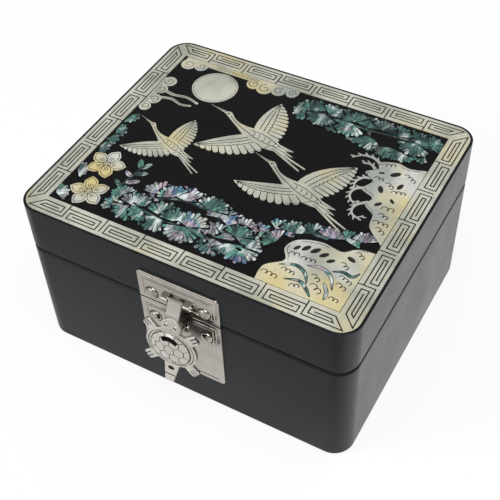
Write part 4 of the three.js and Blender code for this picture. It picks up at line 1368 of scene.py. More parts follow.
        sheet = Sheet()
        far, near = figure.wings
        sheet.cut(placed(figure.wing_outline(far)), self.face - 0.03)
        sheet.cut(placed(figure.body_outline()), self.face - 0.025)
        sheet.cut(placed(figure.wing_outline(near)), self.top)
        for leg in figure.legs():
            sheet.line(placed(leg), self.face - 0.028, 1.2 * size, 0.7 * size)
        self.laid(sheet, name)
        strokes = [*figure.wing_lines(far), *figure.wing_lines(near), *figure.body_lines()]
        for line, width, end in strokes:
            scale = size * self.stroke_scale
            self.engrave(placed(line), width * scale, end * scale)
        near_root = [figure.within(near, 1 - 0.03 * k, 0.06) for k in range(9)]
        self.engrave(placed(near_root), 0.3 * size)

    def crag(self, plan: CragPlan) -> None:
        """Lays one crag and engraves it.

        Args:
            plan: where it lies.
        """
        rim = self.curve(plan.edge)
        outline = [*rim, *(self.spot(p) for p in plan.corners)]
        sheet = Sheet()
        sheet.cut(outline, self.top)
        for frond in plan.fronds:
            self.frond(sheet, self.curve(frond))
        self.laid(sheet, plan.name)
        taken = self.blades(plan) if plan.blades else []
        for column, row, length, turn in plan.hollows:
            centre, half = self.spot((column, row)), length * self.cell / 2
            self.lines.cut([centre + swing(turn) @ Vector(p) for p in oval(half, half * 0.5)],
                           self.face - self.line_drop)
            taken.append((centre, half + self.scallop_apart))
        self.scallops(outline, taken)
        mass = sum(outline, Vector((0, 0))) / len(outline)
        inner = [p + (mass - p).normalized() * self.rock_rim for p in rim[2:-2]]
        for start in range(0, len(inner) - 10, 13):
            self.engrave(inner[start:start + 9], 0.26, 0.2)

    def frond(self, sheet: Sheet, curve: Line) -> None:
        """Lays a pearl frond with its barbs.

        Args:
            sheet: its sheet.
            curve: its centre line.
        """
        sheet.line(curve, self.face - 0.024, 1.5, 0.5)
        for i in range(4, len(curve) - 2, 3):
            ahead = (curve[i + 1] - curve[i - 1]).normalized()
            barb, bent = swing(-62) @ ahead, swing(-25) @ ahead
            sheet.line([curve[i], curve[i] + barb * 1.1, curve[i] + barb * 1.4 + bent * 0.8],
                       self.face - 0.03 - 0.0015 * (i % 5), 0.8, 0.4)

    def blades(self, plan: CragPlan) -> list[tuple[Vector, float]]:
        """Lets abalone blades into a crag.

        Args:
            plan: the crag.

        Returns:
            (place, reach) of what they take up.
        """
        sheet = Sheet(TONE)
        taken = []
        for blade in plan.blades:
            curve = self.curve(blade)
            last = len(curve) - 1
            sides: tuple[Line, Line] = ([], [])
            for i, point in enumerate(curve):
                width = max(0.12, 1.5 * math.sin(math.pi * i / last) ** 0.7)
                ahead = curve[min(i + 1, last)] - curve[max(i - 1, 0)]
                across = Vector((-ahead.y, ahead.x)).normalized() * width / 2
                sides[0].append(point + across)
                sides[1].append(point - across)
                taken.append((point, 1.1))
            sheet.cut([*sides[0], *reversed(sides[1])], self.face - 0.004, self.dice.uniform(0, 1))
            for side in sides:
                self.engrave(side, 0.26)
        self.laid(sheet, plan.name, "blades", depth=0.05)
        return taken

    def scallops(self, outline: Line, taken: list[tuple[Vector, float]]) -> None:
        """Engraves chains of scallops wherever they find room in a crag.

        Args:
            outline: the crag's outline.
            taken: (place, reach) of what is there already.
        """
        dice = self.dice
        low, high = ([pick(p[axis] for p in outline) for axis in (0, 1)] for pick in (min, max))
        for _ in range(self.scallop_tries):
            start = Vector([dice.uniform(*ends) for ends in zip(low, high)])
            radius = dice.uniform(*self.scallop_radius)
            heading = dice.uniform(-self.scallop_heading, self.scallop_heading)
            chain = [start + polar(heading, self.scallop_pitch * radius * k)
                     for k in range(dice.choice((2, 3, 3, 4)))]
            clear = all((spot - other).length > radius + reach
                        for spot in chain for other, reach in taken)
            if not clear or not all(inside(p, outline) for spot in chain
                                    for p in arc(spot, radius + self.scallop_margin, steps=8)):
                continue
            taken += [(spot, radius + self.scallop_apart) for spot in chain]
            line = [p for spot in chain[:-1] for p in arc(spot, radius, heading + 195, -205, steps=9)]
            line += arc(chain[-1], radius, heading + 195, -250, radius * 0.7, 12)
            self.engrave(line, 0.36, 0.42)

    def blossom(self, name: str, column: float, row: float, turn: float) -> None:
        """Lays a five-petalled blossom and engraves its veins and its stamened middle.

        Args:
            name: its CAD node.
            column, row: its grid place.
            turn: its turn in degrees.
        """
        sheet = Sheet()
        middle = self.spot((column, row))
        half = ((0, -1.2), (2.4, -2.2), (4.6, -3.1), (6.2, -2.9), (7.4, -2.0), (8.3, -1.0))
        rim = [*half, (9, 0), *((x, -y) for x, y in reversed(half))]

        def placed(petal: int, points: Iterable[Point]) -> Line:
            """Points of a petal, on the lid."""
            return [middle + swing(turn + 72 * petal) @ (Vector(p) * self.cell) for p in points]

        for petal in range(5):
            sheet.cut(placed(petal, rim), self.top - 0.001 * petal)
            self.engrave(placed(petal, ((1.6 + (x - 1.2) * 0.84, y * 0.74) for x, y in rim)), 0.28)
            for side in (-1, 0, 1):
                self.engrave(placed(petal, ((2.2, side * 0.5), (4.4, side * 0.9))), 0.22, 0.3)
        sheet.cut(circle(middle, 1.9 * self.cell), self.face - 0.015)
        self.laid(sheet, name)
        self.engrave(arc(middle, 1.7 * self.cell), 0.3)
        self.engrave(arc(middle, 0.7 * self.cell, steps=12), 0.3)

    def pine(self, name: str, tones: Point, fans: Sequence[Sequence[float]]) -> None:
        """Lays sprays of abalone needles over dark gaps.

        Args:
            name: the CAD node of the spray.
            tones: lowest and highest tone of its fans.
            fans: (column, row, radius, direction) of each fan.
        """
        sheet, gaps = Sheet(TONE), Sheet()
        for index, (node, line) in enumerate(self.twigs):
            if node == name:
                sheet.line(self.curve(line, 5), self.ground + 0.015 + 0.003 * index,
                           1.6 * self.cell, 0.8 * self.cell)
        for index, (column, row, radius, direction) in enumerate(fans):
            level = self.ground + 0.03 + 0.034 * (index % 7) + 0.002 * (index // 7)
            self.fan(sheet, gaps, self.spot((column, row)), radius * self.cell, direction, level,
                     self.dice.uniform(*tones))
        if name == "pine_front":
            for column, row, length, direction in self.leaves:
                self.leaf(sheet, gaps, self.spot((column, row)), length * self.cell, direction)
        self.laid(gaps, name, "gaps", "field_lacquer")
        self.laid(sheet, name)

    def fan(self, sheet: Sheet, gaps: Sheet, root: Vector, reach: float, direction: float,
            level: float, tone: float) -> None:
        """Lays one fan of club-shaped needles that grow from a common root.

        Args:
            sheet: the needles' sheet.
            gaps: the dark sheet under them.
            root: where they start.
            reach: how long they are.
            direction: the fan's middle, in degrees.
            level: its level.
            tone: its tone.
        """
        step = self.spread / self.needles
        wide = self.spread * self.fan_margin
        gaps.cut([root, *arc(root, reach * 1.005, direction - wide / 2, wide, steps=24)], level)
        sheet.cut([root, *arc(root, reach * self.hub, direction - self.spread / 2, self.spread,
                              steps=12)], level + 0.018, tone)
        full, stagger, jitter = self.needle_length
        bend = self.needle_bend
        waist = math.radians(step) * reach * self.hub * 0.45
        start = reach * (self.hub - 0.03)
        for i in range(self.needles):
            angle = direction + step * (i + 0.5) - self.spread / 2 + self.dice.uniform(-bend, bend)
            length = reach * (full - stagger * (i % 2) - self.dice.uniform(0, jitter))
            along, across = polar(angle, 1), polar(angle + 90, 1)
            tip = math.radians(step) * length * 0.9 * 0.4
            club = [(start, -waist), (length * 0.7, -tip * 0.8)]
            club += [(length - tip + tip * math.sin(turn), -tip * math.cos(turn))
                     for turn in (math.pi * k / 6 for k in range(7))]
            club += [(length * 0.7, tip * 0.8), (start, waist)]
            sheet.cut([root + along * x + across * y for x, y in club], level + 0.01 + 0.0005 * i,
                      tone + self.dice.uniform(-self.needle_tone, self.needle_tone))

    def leaf(self, sheet: Sheet, gaps: Sheet, root: Vector, length: float,
             direction: float) -> None:
        """Lays an oval leaf with a dark vein.

        Args:
            sheet: the leaf's sheet.
            gaps: the dark sheet of its vein.
            root: where it starts.
            length: its length.
            direction: where it points, in degrees.
        """
        along, across = polar(direction, 1), polar(direction + 90, 1)
        sheet.cut([root + along * (length / 2 + x) + across * y
                   for x, y in oval(length / 2, length / 2 * 0.42)],
                  self.ground + 0.12, self.dice.uniform(0, 1))
        gaps.line([root + along * length * 0.2, root + along * length * 0.8],
                  self.ground + 0.13, 0.3, 0.16)


# Nickel hardware


def leaning(lean: float, out: float, height: float) -> Matrix:
    """Leans a bench back by degrees and moves it out and up."""
    return Matrix.Translation((0, height, out)) @ Matrix.Rotation(-math.radians(lean), 4, "X")


class Casting(Workpiece):
    """A nickel fitting on the bench, drawn with x across, y up and z out from the wall."""

    def __init__(self, recessed: bool = False) -> None:
        """Starts an empty bench.

        Args:
            recessed: whether it carries the face layer that darkens it with painted shade in recesses
                and elsewhere.
        """
        super().__init__()
        if recessed:
            self.bm.faces.layers.float.new(SHADE_AND_TARNISH)

    def shade_and_tarnish(self, share: float, before: Iterable[Face] = (),
                chosen: Callable[[Face], bool] = lambda face: True) -> None:
        """Darkens the faces made since a step, mostly as painted shade.

        Args:
            share: how much of it, from 0 to 1.
            before: the faces that were there before the step.
            chosen: says which of the new faces take it.
        """
        layer = self.bm.faces.layers.float[SHADE_AND_TARNISH]
        for face in set(self.bm.faces).difference(before):
            if chosen(face):
                face[layer] = share

    def rod(self, radius: float, start: float, end: float, y: float, z: float,
            ease: float = 0.2) -> None:
        """Adds a round bar along X with eased ends.

        Args:
            radius: its radius.
            start, end: its ends.
            y, z: its middle.
            ease: the rounding of its ends.
        """
        made = bmesh.ops.create_cone(self.bm, cap_ends=True, segments=32, radius1=radius,
                                     radius2=radius, depth=end - start)["verts"]
        kept = set(self.bm.verts).difference(made)
        self.bevel({e for v in made for e in v.link_edges
                    if abs(e.verts[0].co.z - e.verts[1].co.z) < 1e-6}, ease, 2)
        self.moved(Matrix.Translation(((start + end) / 2, y, z))
                   @ Matrix.Rotation(math.pi / 2, 4, "Y"), kept)

    def block(self, low: Sequence[float], high: Sequence[float], corner: float = 0.0,
              ease: float = 0.15) -> None:
        """Adds an eased block.

        Args:
            low, high: two opposite corners.
            corner: radius of its upright corners.
            ease: the rounding of its top.
        """
        kept = set(self.bm.verts)
        face = self.plate(high[0] - low[0], high[1] - low[1], corner, low[2], 5)
        top = self.raised(face, high[2] - low[2])
        self.moved(Matrix.Translation(((low[0] + high[0]) / 2, (low[1] + high[1]) / 2, 0)), kept)
        if ease:
            self.bevel(top.edges, ease, 2)

    def nearest(self, place: Vector) -> Face:
        """The outward face whose middle lies nearest to a place."""
        return min((f for f in self.bm.faces if f.normal.z > 0.5),
                   key=lambda f: (f.calc_center_median() - place).length)

    def parted(self, *cuts: tuple[int, float], above: float | None = None) -> None:
        """Scores faces along upright planes.

        Args:
            cuts: (axis, place) of each plane.
            above: when given, only flats above this level are scored.
        """
        for axis, at in cuts:
            normal = Vector((1 - axis, axis, 0))
            faces = [f for f in self.bm.faces if above is None or (
                f.normal.z > 0.9 and f.calc_center_median().z > above)]
            parts = {*faces, *(e for f in faces for e in f.edges),
                     *(v for f in faces for v in f.verts)}
            bmesh.ops.bisect_plane(self.bm, geom=list(parts), plane_co=normal * at,
                                   plane_no=normal)

    def rib(self, line: Line, bottom: float, top: float, width: float) -> None:
        """Adds a raised rib along a line.

        Args:
            line: the line.
            bottom, top: its levels.
            width: its width.
        """
        for start, end in zip(line, line[1:]):
            side = Vector((start.y - end.y, end.x - start.x)).normalized() * width / 2
            face = self.outline([start + side, start - side, end - side, end + side], bottom)
            self.raised(face, top - bottom)

    def eye(self, x: float, y: float) -> None:
        """Adds a ring eye, spun from a small circle, round a bead, over a dark disc of painted shade.

        Args:
            x, y: its place.
        """
        made = bmesh.ops.create_circle(self.bm, segments=10, radius=0.3)["verts"]
        turn = Matrix.Translation((x + 1.0, y, 0.02)) @ Matrix.Rotation(math.pi / 2, 4, "X")
        bmesh.ops.transform(self.bm, matrix=turn, verts=made)
        geometry = {*made, *(e for v in made for e in v.link_edges)}
        bmesh.ops.spin(self.bm, geom=list(geometry), cent=(x, y, 0), axis=(0, 0, 1),
                       angle=2 * math.pi, steps=24, use_merge=True)
        bead = bmesh.ops.create_uvsphere(self.bm, u_segments=12, v_segments=8, radius=0.36)
        bmesh.ops.translate(self.bm, vec=(x, y, -0.08), verts=bead["verts"])
        # Dark disc behind the ring: painted shade in the eye socket.
        before = set(self.bm.faces)
        self.raised(self.outline(circle(Vector((x, y)), 0.95), -0.2), 0.23)
        self.shade_and_tarnish(1, before)


@dataclass
class Hardware:
    """Cast and pressed nickel fittings of the box."""

    finishes: Finishes
    latch_x: float = 2.0
    plate_width: float = 38.2
    plate_thickness: float = 1.0
    plate_corner: float = 1.8
    ridge_inset: float = 2.1
    relief: float = 0.3
    slope: float = 0.16
    pivot_z: float = 66.0
    pivot_out: float = 2.3
    barrel_radius: float = 1.3
    barrel_width: float = 6.4
    side_gap: float = 0.3
    ear_width: float = 3.4
    dome_steps: int = 7
    dome_step: float = 11
    crown_drop: float = 0.25
    slot_share: float = 0.13
    arm_share: float = 0.56
    # Radius of the painted-shadow ring round a latch screw, against the head's radius.
    shadow_ring_share: float = 1.16
    latch_screw: Point = (2.75, 1.1)

    def __post_init__(self) -> None:
        """Finds the walls that the fittings stand on."""
        low, high = box("lid_frame")
        self.nickel = self.finishes.slots["nickel"]
        self.front = Matrix(((1, 0, 0, self.latch_x), (0, 0, -1, low.y), (0, 1, 0, 0),
                             (0, 0, 0, 1)))
        self.back = Matrix(((-1, 0, 0, 0), (0, 0, 1, high.y), (0, 1, 0, 0), (0, 0, 0, 1)))

    def made(self, work: Casting, name: str, body: Body, node: str, smooth: float = 35,
             place: Matrix | None = None) -> None:
        """Finishes a fitting in nickel at its wall.

        Args:
            work: the fitting.
            name: the piece's name.
            body: the body that it rides on.
            node: the CAD node that it stands for.
            smooth: edges bent less than this many degrees are shaded smooth.
            place: its place, at the front wall if left out.
        """
        work.moved(place or self.front)
        weighted(work.finish(name, body, self.nickel, "nickel", [node], smooth))

    def latch_plate(self, node: str, corners_at_top: bool) -> Casting:
        """Presses a plate with a raised ridge line and panel.

        Args:
            node: its CAD node.
            corners_at_top: whether the upper corners are the rounded ones.

        Returns:
            The plate.
        """
        low, high = box(node)
        height = high.z - low.z
        flat = self.plate_thickness - 0.01
        work = Casting()
        face = work.plate(self.plate_width, height, self.plate_corner, 0, 8,
                          lambda corner: (corner.y > 0) == corners_at_top)
        work.raised(face, self.plate_thickness)
        work.eased(lambda p: p.z > flat, 0.3)
        work.bm.normal_update()
        across, along = self.plate_width / 2 - self.ridge_inset, height / 2 - self.ridge_inset
        work.parted((0, -across), (0, across), (1, -along), (1, along), above=flat)
        panel = work.nearest(Vector((0, 0, self.plate_thickness)))
        work.follow(panel, (self.slope, self.relief), (0.48, 0), (self.slope, -self.relief),
                    (0.62, 0), (self.slope * 1.5, self.relief))
        work.moved(Matrix.Translation((0, (low.z + high.z) / 2, 0)))
        return work

    def plates(self) -> None:
        """Makes the upper plate with its window and two knuckle ears, and the lower plate."""
        upper = self.latch_plate("latch_upper_plate", True)
        ear = self.barrel_width / 2 + self.side_gap
        middle = self.pivot_z - 0.1
        upper.bm.normal_update()
        upper.parted((0, -ear), (0, ear), (1, middle - 2.5), (1, middle + 2.5),
                     above=self.plate_thickness + 0.1)
        window = upper.nearest(Vector((0, self.pivot_z, 1.3)))
        upper.follow(window, (0, 0.2 - self.plate_thickness - self.relief))
        for side in (-1, 1):
            near, far = sorted((side * ear, side * (ear + self.ear_width)))
            upper.rod(self.barrel_radius + 0.2, near, far, self.pivot_z, self.pivot_out)
            upper.block((near, self.pivot_z - 1.5, 0.2),
                        (far, self.pivot_z + 1.5, self.pivot_out), ease=0.1)
        self.made(upper, "latch_upper", Body.LID, "latch_upper_plate")
        lower = self.latch_plate("latch_lower_plate", False)
        self.made(lower, "latch_lower", Body.BASE, "latch_lower_plate")

    def screw(self, node: str, body: Body, radius: float, dome: float, turn: float,
              place: Matrix, shadow_ring_level: float = 0, shallow: float = 0.3) -> None:
        """Makes a domed cross-recessed screw over a node's box.

        Args:
            node: the CAD node that it stands for.
            body: the body that it rides on.
            radius: the head's radius.
            dome: the head's height.
            turn: how far its cross is turned, in degrees.
            place: the wall's frame.
            shadow_ring_level: level of a dark ring round the head, a painted shadow of its
                countersink, or none.
            shallow: height of the head's rim.
        """
        low, high = box(node)
        wall = place.inverted()
        centre = wall @ ((low + high) / 2)
        base = max((wall @ low).z, (wall @ high).z) - dome - self.crown_drop
        work = Casting(True)
        made = bmesh.ops.create_circle(work.bm, cap_ends=True, segments=40, radius=radius)["verts"]
        head = made[0].link_faces[0]
        if head.normal.z < 0:
            head.normal_flip()
        bmesh.ops.translate(work.bm, vec=(0, 0, base - shallow), verts=made)
        crown = work.raised(head, shallow)
        angles = [math.radians(self.dome_step * k) for k in range(self.dome_steps + 1)]
        for a, b in zip(angles, angles[1:]):
            work.follow(crown, (radius * (math.cos(a) - math.cos(b)),
                                (dome + self.crown_drop) * (math.sin(b) - math.sin(a))))
        slot, arm = radius * self.slot_share, radius * self.arm_share
        work.parted(*((axis, at) for reach in (slot, arm) for axis in (0, 1)
                      for at in (reach, -reach)))
        cross = []
        for face in work.bm.faces:
            middle = face.calc_center_median()
            across, along = sorted((abs(middle.x), abs(middle.y)))
            if across < slot and along < arm and middle.z > base + 0.1:
                cross.append(face)
        # The cross recess is darkened as painted shade.
        before = set(work.bm.faces)
        sunk = bmesh.ops.extrude_face_region(work.bm, geom=cross)["geom"]
        work.shade_and_tarnish(0.75, before)
        for vertex in (g for g in sunk if isinstance(g, BMVert)):
            reach = max(abs(vertex.co.x), abs(vertex.co.y)) / arm
            vertex.co.z = base + dome * (0.25 + 0.35 * reach)
        # Thin dark ring round the head: a painted shadow of the countersink.
        if shadow_ring_level:
            before = set(work.bm.faces)
            rim = circle(Vector((0, 0)), radius * self.shadow_ring_share, 40)
            work.raised(work.outline(rim, shadow_ring_level - 0.1), 0.1)
            work.shade_and_tarnish(1, before)
        spot = Matrix.Translation((centre.x, centre.y, 0)) @ Matrix.Rotation(
            math.radians(turn), 4, "Z")
        self.made(work, node + "_head", body, node, 40, place @ spot)

    def keeper(self) -> None:
        """Makes the keeper tongue that comes through the turtle's slot, on its foot."""
        low, high = box("latch_keeper")
        middle = (low.z + high.z) / 2
        face = self.plate_thickness + self.relief
        work = Casting()
        work.block((-2.4, middle - 0.55, face), (2.4, middle + 0.55, 7.4), 0.3, 0.3)
        work.block((-4, middle - 1.76, face), (4, middle + 1.76, face + 0.8), 0.6, 0.2)
        self.made(work, "latch_tongue", Body.BASE, "latch_keeper")

    def pin(self) -> None:
        """Makes the hasp's hinge pin."""
        work = Casting()
        reach = self.barrel_width / 2 + self.side_gap + self.ear_width + 0.3
        work.rod(0.7, -reach, reach, self.pivot_z, self.pivot_out, 0.15)
        self.made(work, "latch_pin", Body.LID, "latch_hinge_pin")


@dataclass
class TurtleHasp(Hardware):
    """The cast turtle that swings down over the keeper."""

    lean: float = 6.6
    centre_out: float = 9.57
    centre_z: float = 44.9
    sheet: float = 1.0
    shell: Point = (12.2, 10.2)
    dome: Point = (9.8, 8.7)
    dome_height: float = 1.7
    scute_pitch: float = 4.5
    scute_gap: float = 0.3
    scute_height: float = 0.4
    scute_edge: float = 0.95
    foot: Point = (6.4, 4.9)
    foot_reach: float = 16.2
    foot_angles: tuple = (41, 139, 221, 319)
    toe_cut: Point = (3.3, 0.24)
    eye_place: Point = (2.2, -0.7)
    collar_arcs: Point = (3.6, 4.5)
    head: tuple = (9.6, 7.4, 1.7)
    head_lean: float = 19
    tail_lean: float = 24
    tail: tuple = (8.8, 8.0, 4.2)
    slot_radius: float = 5.9
    slot_width: float = 2.3
    slot_half_angle: float = 38

    def __post_init__(self) -> None:
        """Takes a brighter, softer nickel than the pressed plates have, and two benches."""
        super().__post_init__()
        self.nickel = Nickel("cast_nickel", colour=srgb(252, 247, 239), dull=srgb(240, 234, 226),
                             roughness=(0.24, 0.34), metal=0.84).build()
        self.cast, self.cutters = Casting(True), Casting(True)

    def along(self, distance: float) -> Point:
        """Distance out and height of a point up the leaning shell."""
        turn = math.radians(self.lean)
        return self.centre_out - distance * math.sin(turn), self.centre_z + distance * math.cos(turn)

    def build(self) -> None:
        """Casts the turtle, cuts its slot, dimple, crease and toe lines, and paints shade into its
        cuts and onto its sides and back.
        """
        self.body()
        self.neck()
        self.tail_piece()
        self.strap()
        # Every cut face of the slot, toe lines, dimple and crease comes out fully dark: painted
        # shade.
        self.cutters.shade_and_tarnish(1)
        carved = self.carved()
        carved.bm.normal_update()
        layer = carved.bm.faces.layers.float[SHADE_AND_TARNISH]
        # Painted shade: sideways faces take 0.6 and faces turned back to the wall take 0.95.
        for share, low, high in ((0.6, -0.5, 0.2), (0.95, -2, -0.5)):
            carved.shade_and_tarnish(share, chosen=lambda f, share=share, low=low, high=high: (
                low < f.normal.z <= high and f[layer] < share))
        self.made(carved, "turtle", Body.HASP, "turtle_hasp", 38)

    def body(self) -> None:
        """Casts the shell's rim, dome, scutes and feet, with their cutters."""
        work, cutters = self.cast, self.cutters
        base = work.outline(oval(*self.shell, 72), -self.sheet)
        top = work.raised(base, self.sheet + 0.1)
        work.follow(top, (0.22, 0.2), (0.3, 0.08), (0.45, 0.0))
        # Groove round the shell's rim, darkened as painted shade.
        before = set(work.bm.faces)
        work.follow(top, (0.16, -0.26), (0.24, 0), (0.16, 0.22))
        work.shade_and_tarnish(0.6, before)
        self.domed(work.follow(top, (0, 0)))
        self.scutes()
        for angle in self.foot_angles:
            turn = Matrix.Rotation(math.radians(angle), 4, "Z")
            kept, held = set(work.bm.verts), set(cutters.bm.verts)
            work.block((self.foot_reach - self.foot[0], -self.foot[1] / 2, -self.sheet),
                       (self.foot_reach, self.foot[1] / 2, 0.25), 1.4, 0.32)
            work.moved(turn, kept)
            for line in (-self.foot[1] / 6, self.foot[1] / 6):
                cutters.block((self.foot_reach - self.toe_cut[0], line - self.toe_cut[1], -0.4),
                              (self.foot_reach + 1, line + self.toe_cut[1], 2), ease=0)
            cutters.moved(turn, held)
        arch = [Vector((self.slot_radius * math.sin(t), self.slot_radius * math.cos(t)))
                for t in (math.radians(self.slot_half_angle * (i / 8 - 1)) for i in range(17))]
        share = self.slot_width / 2 / self.slot_radius
        rim = [*(p * (1 + share) for p in arch), *(p * (1 - share) for p in reversed(arch))]
        cutters.raised(cutters.outline(rim, -5), 12)
        for bench in (work, cutters):
            bench.moved(leaning(self.lean, self.centre_out, self.centre_z))

    def domed(self, top: Face) -> None:
        """Swells a face into the shell's dome, fully darkened so that the gaps between its scutes
        read as painted shade.

        Args:
            top: the face.
        """
        work = self.cast
        wide = max(v.co.x for v in top.verts)
        for vertex in top.verts:
            vertex.co.x *= (self.dome[0] + 0.15) / wide
        rim = top.calc_center_median().z
        reach = max(v.co.x for v in top.verts)
        bare = self.dome_height - rim - self.scute_height * 0.7
        for share in (0.985, 0.95, 0.88, 0.76, 0.6, 0.42, 0.22):
            if share > 0.9:
                before = set(work.bm.faces)
            work.follow(top, (0, 0))
            last = max(v.co.x for v in top.verts)
            for vertex in top.verts:
                vertex.co.x *= reach * share / last
                vertex.co.y *= reach * share / last
                vertex.co.z = rim + bare * math.sqrt(1 - share**2)
        # The dome under the scutes goes fully dark: painted shade between them.
        work.shade_and_tarnish(1, before)

    def scutes(self) -> None:
        """Casts hexagonal plates that follow the dome."""
        work = self.cast
        radius = (self.scute_pitch - self.scute_gap) / 2 / math.cos(math.pi / 6)
        for row, column in ((row, column) for row in range(-3, 4) for column in range(-3, 4)):
            middle = Vector(((column + (abs(row) % 2) / 2) * self.scute_pitch,
                             row * self.scute_pitch * math.sqrt(3) / 2))
            corners = [middle + polar(60 * i + 30, radius) for i in range(6)]
            shares = [math.hypot(p.x / self.dome[0], p.y / self.dome[1]) for p in corners]
            if sum(share < self.scute_edge for share in shares) < 2:
                continue
            face = work.outline([p * min(1, self.scute_edge / share)
                                 for p, share in zip(corners, shares)])
            if face.calc_area() < 2:
                bmesh.ops.delete(work.bm, geom=[face], context="FACES")
                continue
            top = work.raised(face, 0.1)
            for v in top.verts:
                share = (v.co.x / self.dome[0]) ** 2 + (v.co.y / self.dome[1]) ** 2
                level = self.dome_height * math.sqrt(1 - min(share, 1))
                v.co.z = level + self.scute_height - 0.15
            work.follow(top, (0.13, 0.1))
            if max(shares) < self.scute_edge:
                work.follow(top, (0.9, 0.05))

    def neck(self) -> None:
        """Casts the head with ring eyes and the arcs of its collar."""
        work = self.cast
        width, length, thick = self.head
        half = width / 2
        out, height = self.along(self.shell[1] + length * 0.36)
        kept, before = set(work.bm.verts), set(work.bm.faces)
        cheek = swept(((half, -length * 0.12), (half, length * 0.06), (half * 0.85, length * 0.2),
                       (half * 0.55, length * 0.3)), 6)
        cheeks = [Vector((half * 0.86, -length * 0.62)), *cheek, Vector((half * 0.12, length * 0.47))]
        top = work.raised(work.outline(mirrored(cheeks), -thick), thick - 0.3)
        work.follow(top, (0.18, 0.2), (0.35, 0.1))
        # The head is toned a little darker all over.
        work.shade_and_tarnish(0.15, before)
        for side in (-1, 1):
            work.eye(side * self.eye_place[0], self.eye_place[1])
        for reach in self.collar_arcs:
            work.rib([Vector((reach * math.sin(t), -length * 0.98 + reach * math.cos(t)))
                      for t in (math.radians(-50 + 10 * i) for i in range(11))],
                     -0.1, 0.14, 0.34)
        work.moved(leaning(self.head_lean, out + 0.1, height), kept)

    def tail_piece(self) -> None:
        """Casts the tail tab, with cutters for its dimple and crease."""
        work, cutters = self.cast, self.cutters
        length, root, tip = self.tail
        out, height = self.along(-self.shell[1] + 0.6)
        side = [Vector((root / 2, 2))]
        side += [Vector((tip / 2 - 0.5 + 0.5 * math.sin(t), -length + 0.5 - 0.5 * math.cos(t)))
                 for t in (math.radians(90 - 18 * i) for i in range(6))]
        kept, held = set(work.bm.verts), set(cutters.bm.verts)
        face = work.outline(mirrored(side), -self.sheet)
        work.follow(work.raised(face, self.sheet - 0.2), (0.2, 0.2))
        cutters.raised(cutters.outline(oval(1.6, 0.85, 32, -2.2), -2), 4)
        crease = -length * 0.62
        cutters.block((-4.5, crease - 0.22, -0.3), (4.5, crease + 0.22, 1), ease=0)
        place = leaning(self.tail_lean, out + 0.1, height)
        work.moved(place, kept)
        cutters.moved(place, held)

    def strap(self) -> None:
        """Casts the bent strap from the barrel to the shell."""
        work = self.cast
        half = self.barrel_width / 2
        length = self.head[1]
        out, height = self.along(self.shell[1] + length * 0.36)
        end_out, end_height = self.along(self.shell[1] - 2)
        strip = Sheet()
        strip.line(flowing([
            (self.pivot_out + self.barrel_radius - 0.5, self.pivot_z + 0.2),
            (self.pivot_out + 2.4, self.pivot_z - 3),
            (out - 1.9, height + length * 0.36),
            (out - 1.7, height - length * 0.25),
            (end_out - 1.1, end_height),
        ]), 0, self.sheet)
        strip.thicken(self.barrel_width)
        strip.moved(Matrix(((0, 0, -1, half), (0, 1, 0, 0), (1, 0, 0, 0), (0, 0, 0, 1))))
        strip.bevel([e for e in strip.bm.edges
                     if all(abs(abs(v.co.x) - half) < 1e-4 for v in e.verts)
                     and e.verts[0].co.x * e.verts[1].co.x > 0 and len(e.link_faces) == 2
                     and e.calc_face_angle(0) > math.radians(60)], 0.22, 2)
        before = set(work.bm.faces)
        work.bm.from_mesh(strip.mesh("strap"))
        work.rod(self.barrel_radius, -half, half, self.pivot_z, self.pivot_out)
        work.bm.normal_update()
        # Strap and barrel take a plain darker tone; their sideways faces are darkened further as
        # painted shade.
        work.shade_and_tarnish(0.42, before)
        work.shade_and_tarnish(0.85, before, lambda face: abs(face.normal.x) > 0.7)

    def carved(self) -> Casting:
        """Cuts the cutters from the casting.

        Returns:
            The result, on a new bench.
        """
        cast = linked("cast", self.cast.mesh("cast"))
        cutters = linked("cutters", self.cutters.mesh("cutters"))
        cut = cast.modifiers.new("cut", "BOOLEAN")
        cut.operation, cut.solver, cut.use_self = "DIFFERENCE", "EXACT", True
        cut.object = cutters
        result = Casting()
        result.bm.from_mesh(evaluated(cast))
        for piece in (cast, cutters):
            bpy.data.objects.remove(piece)
        return result


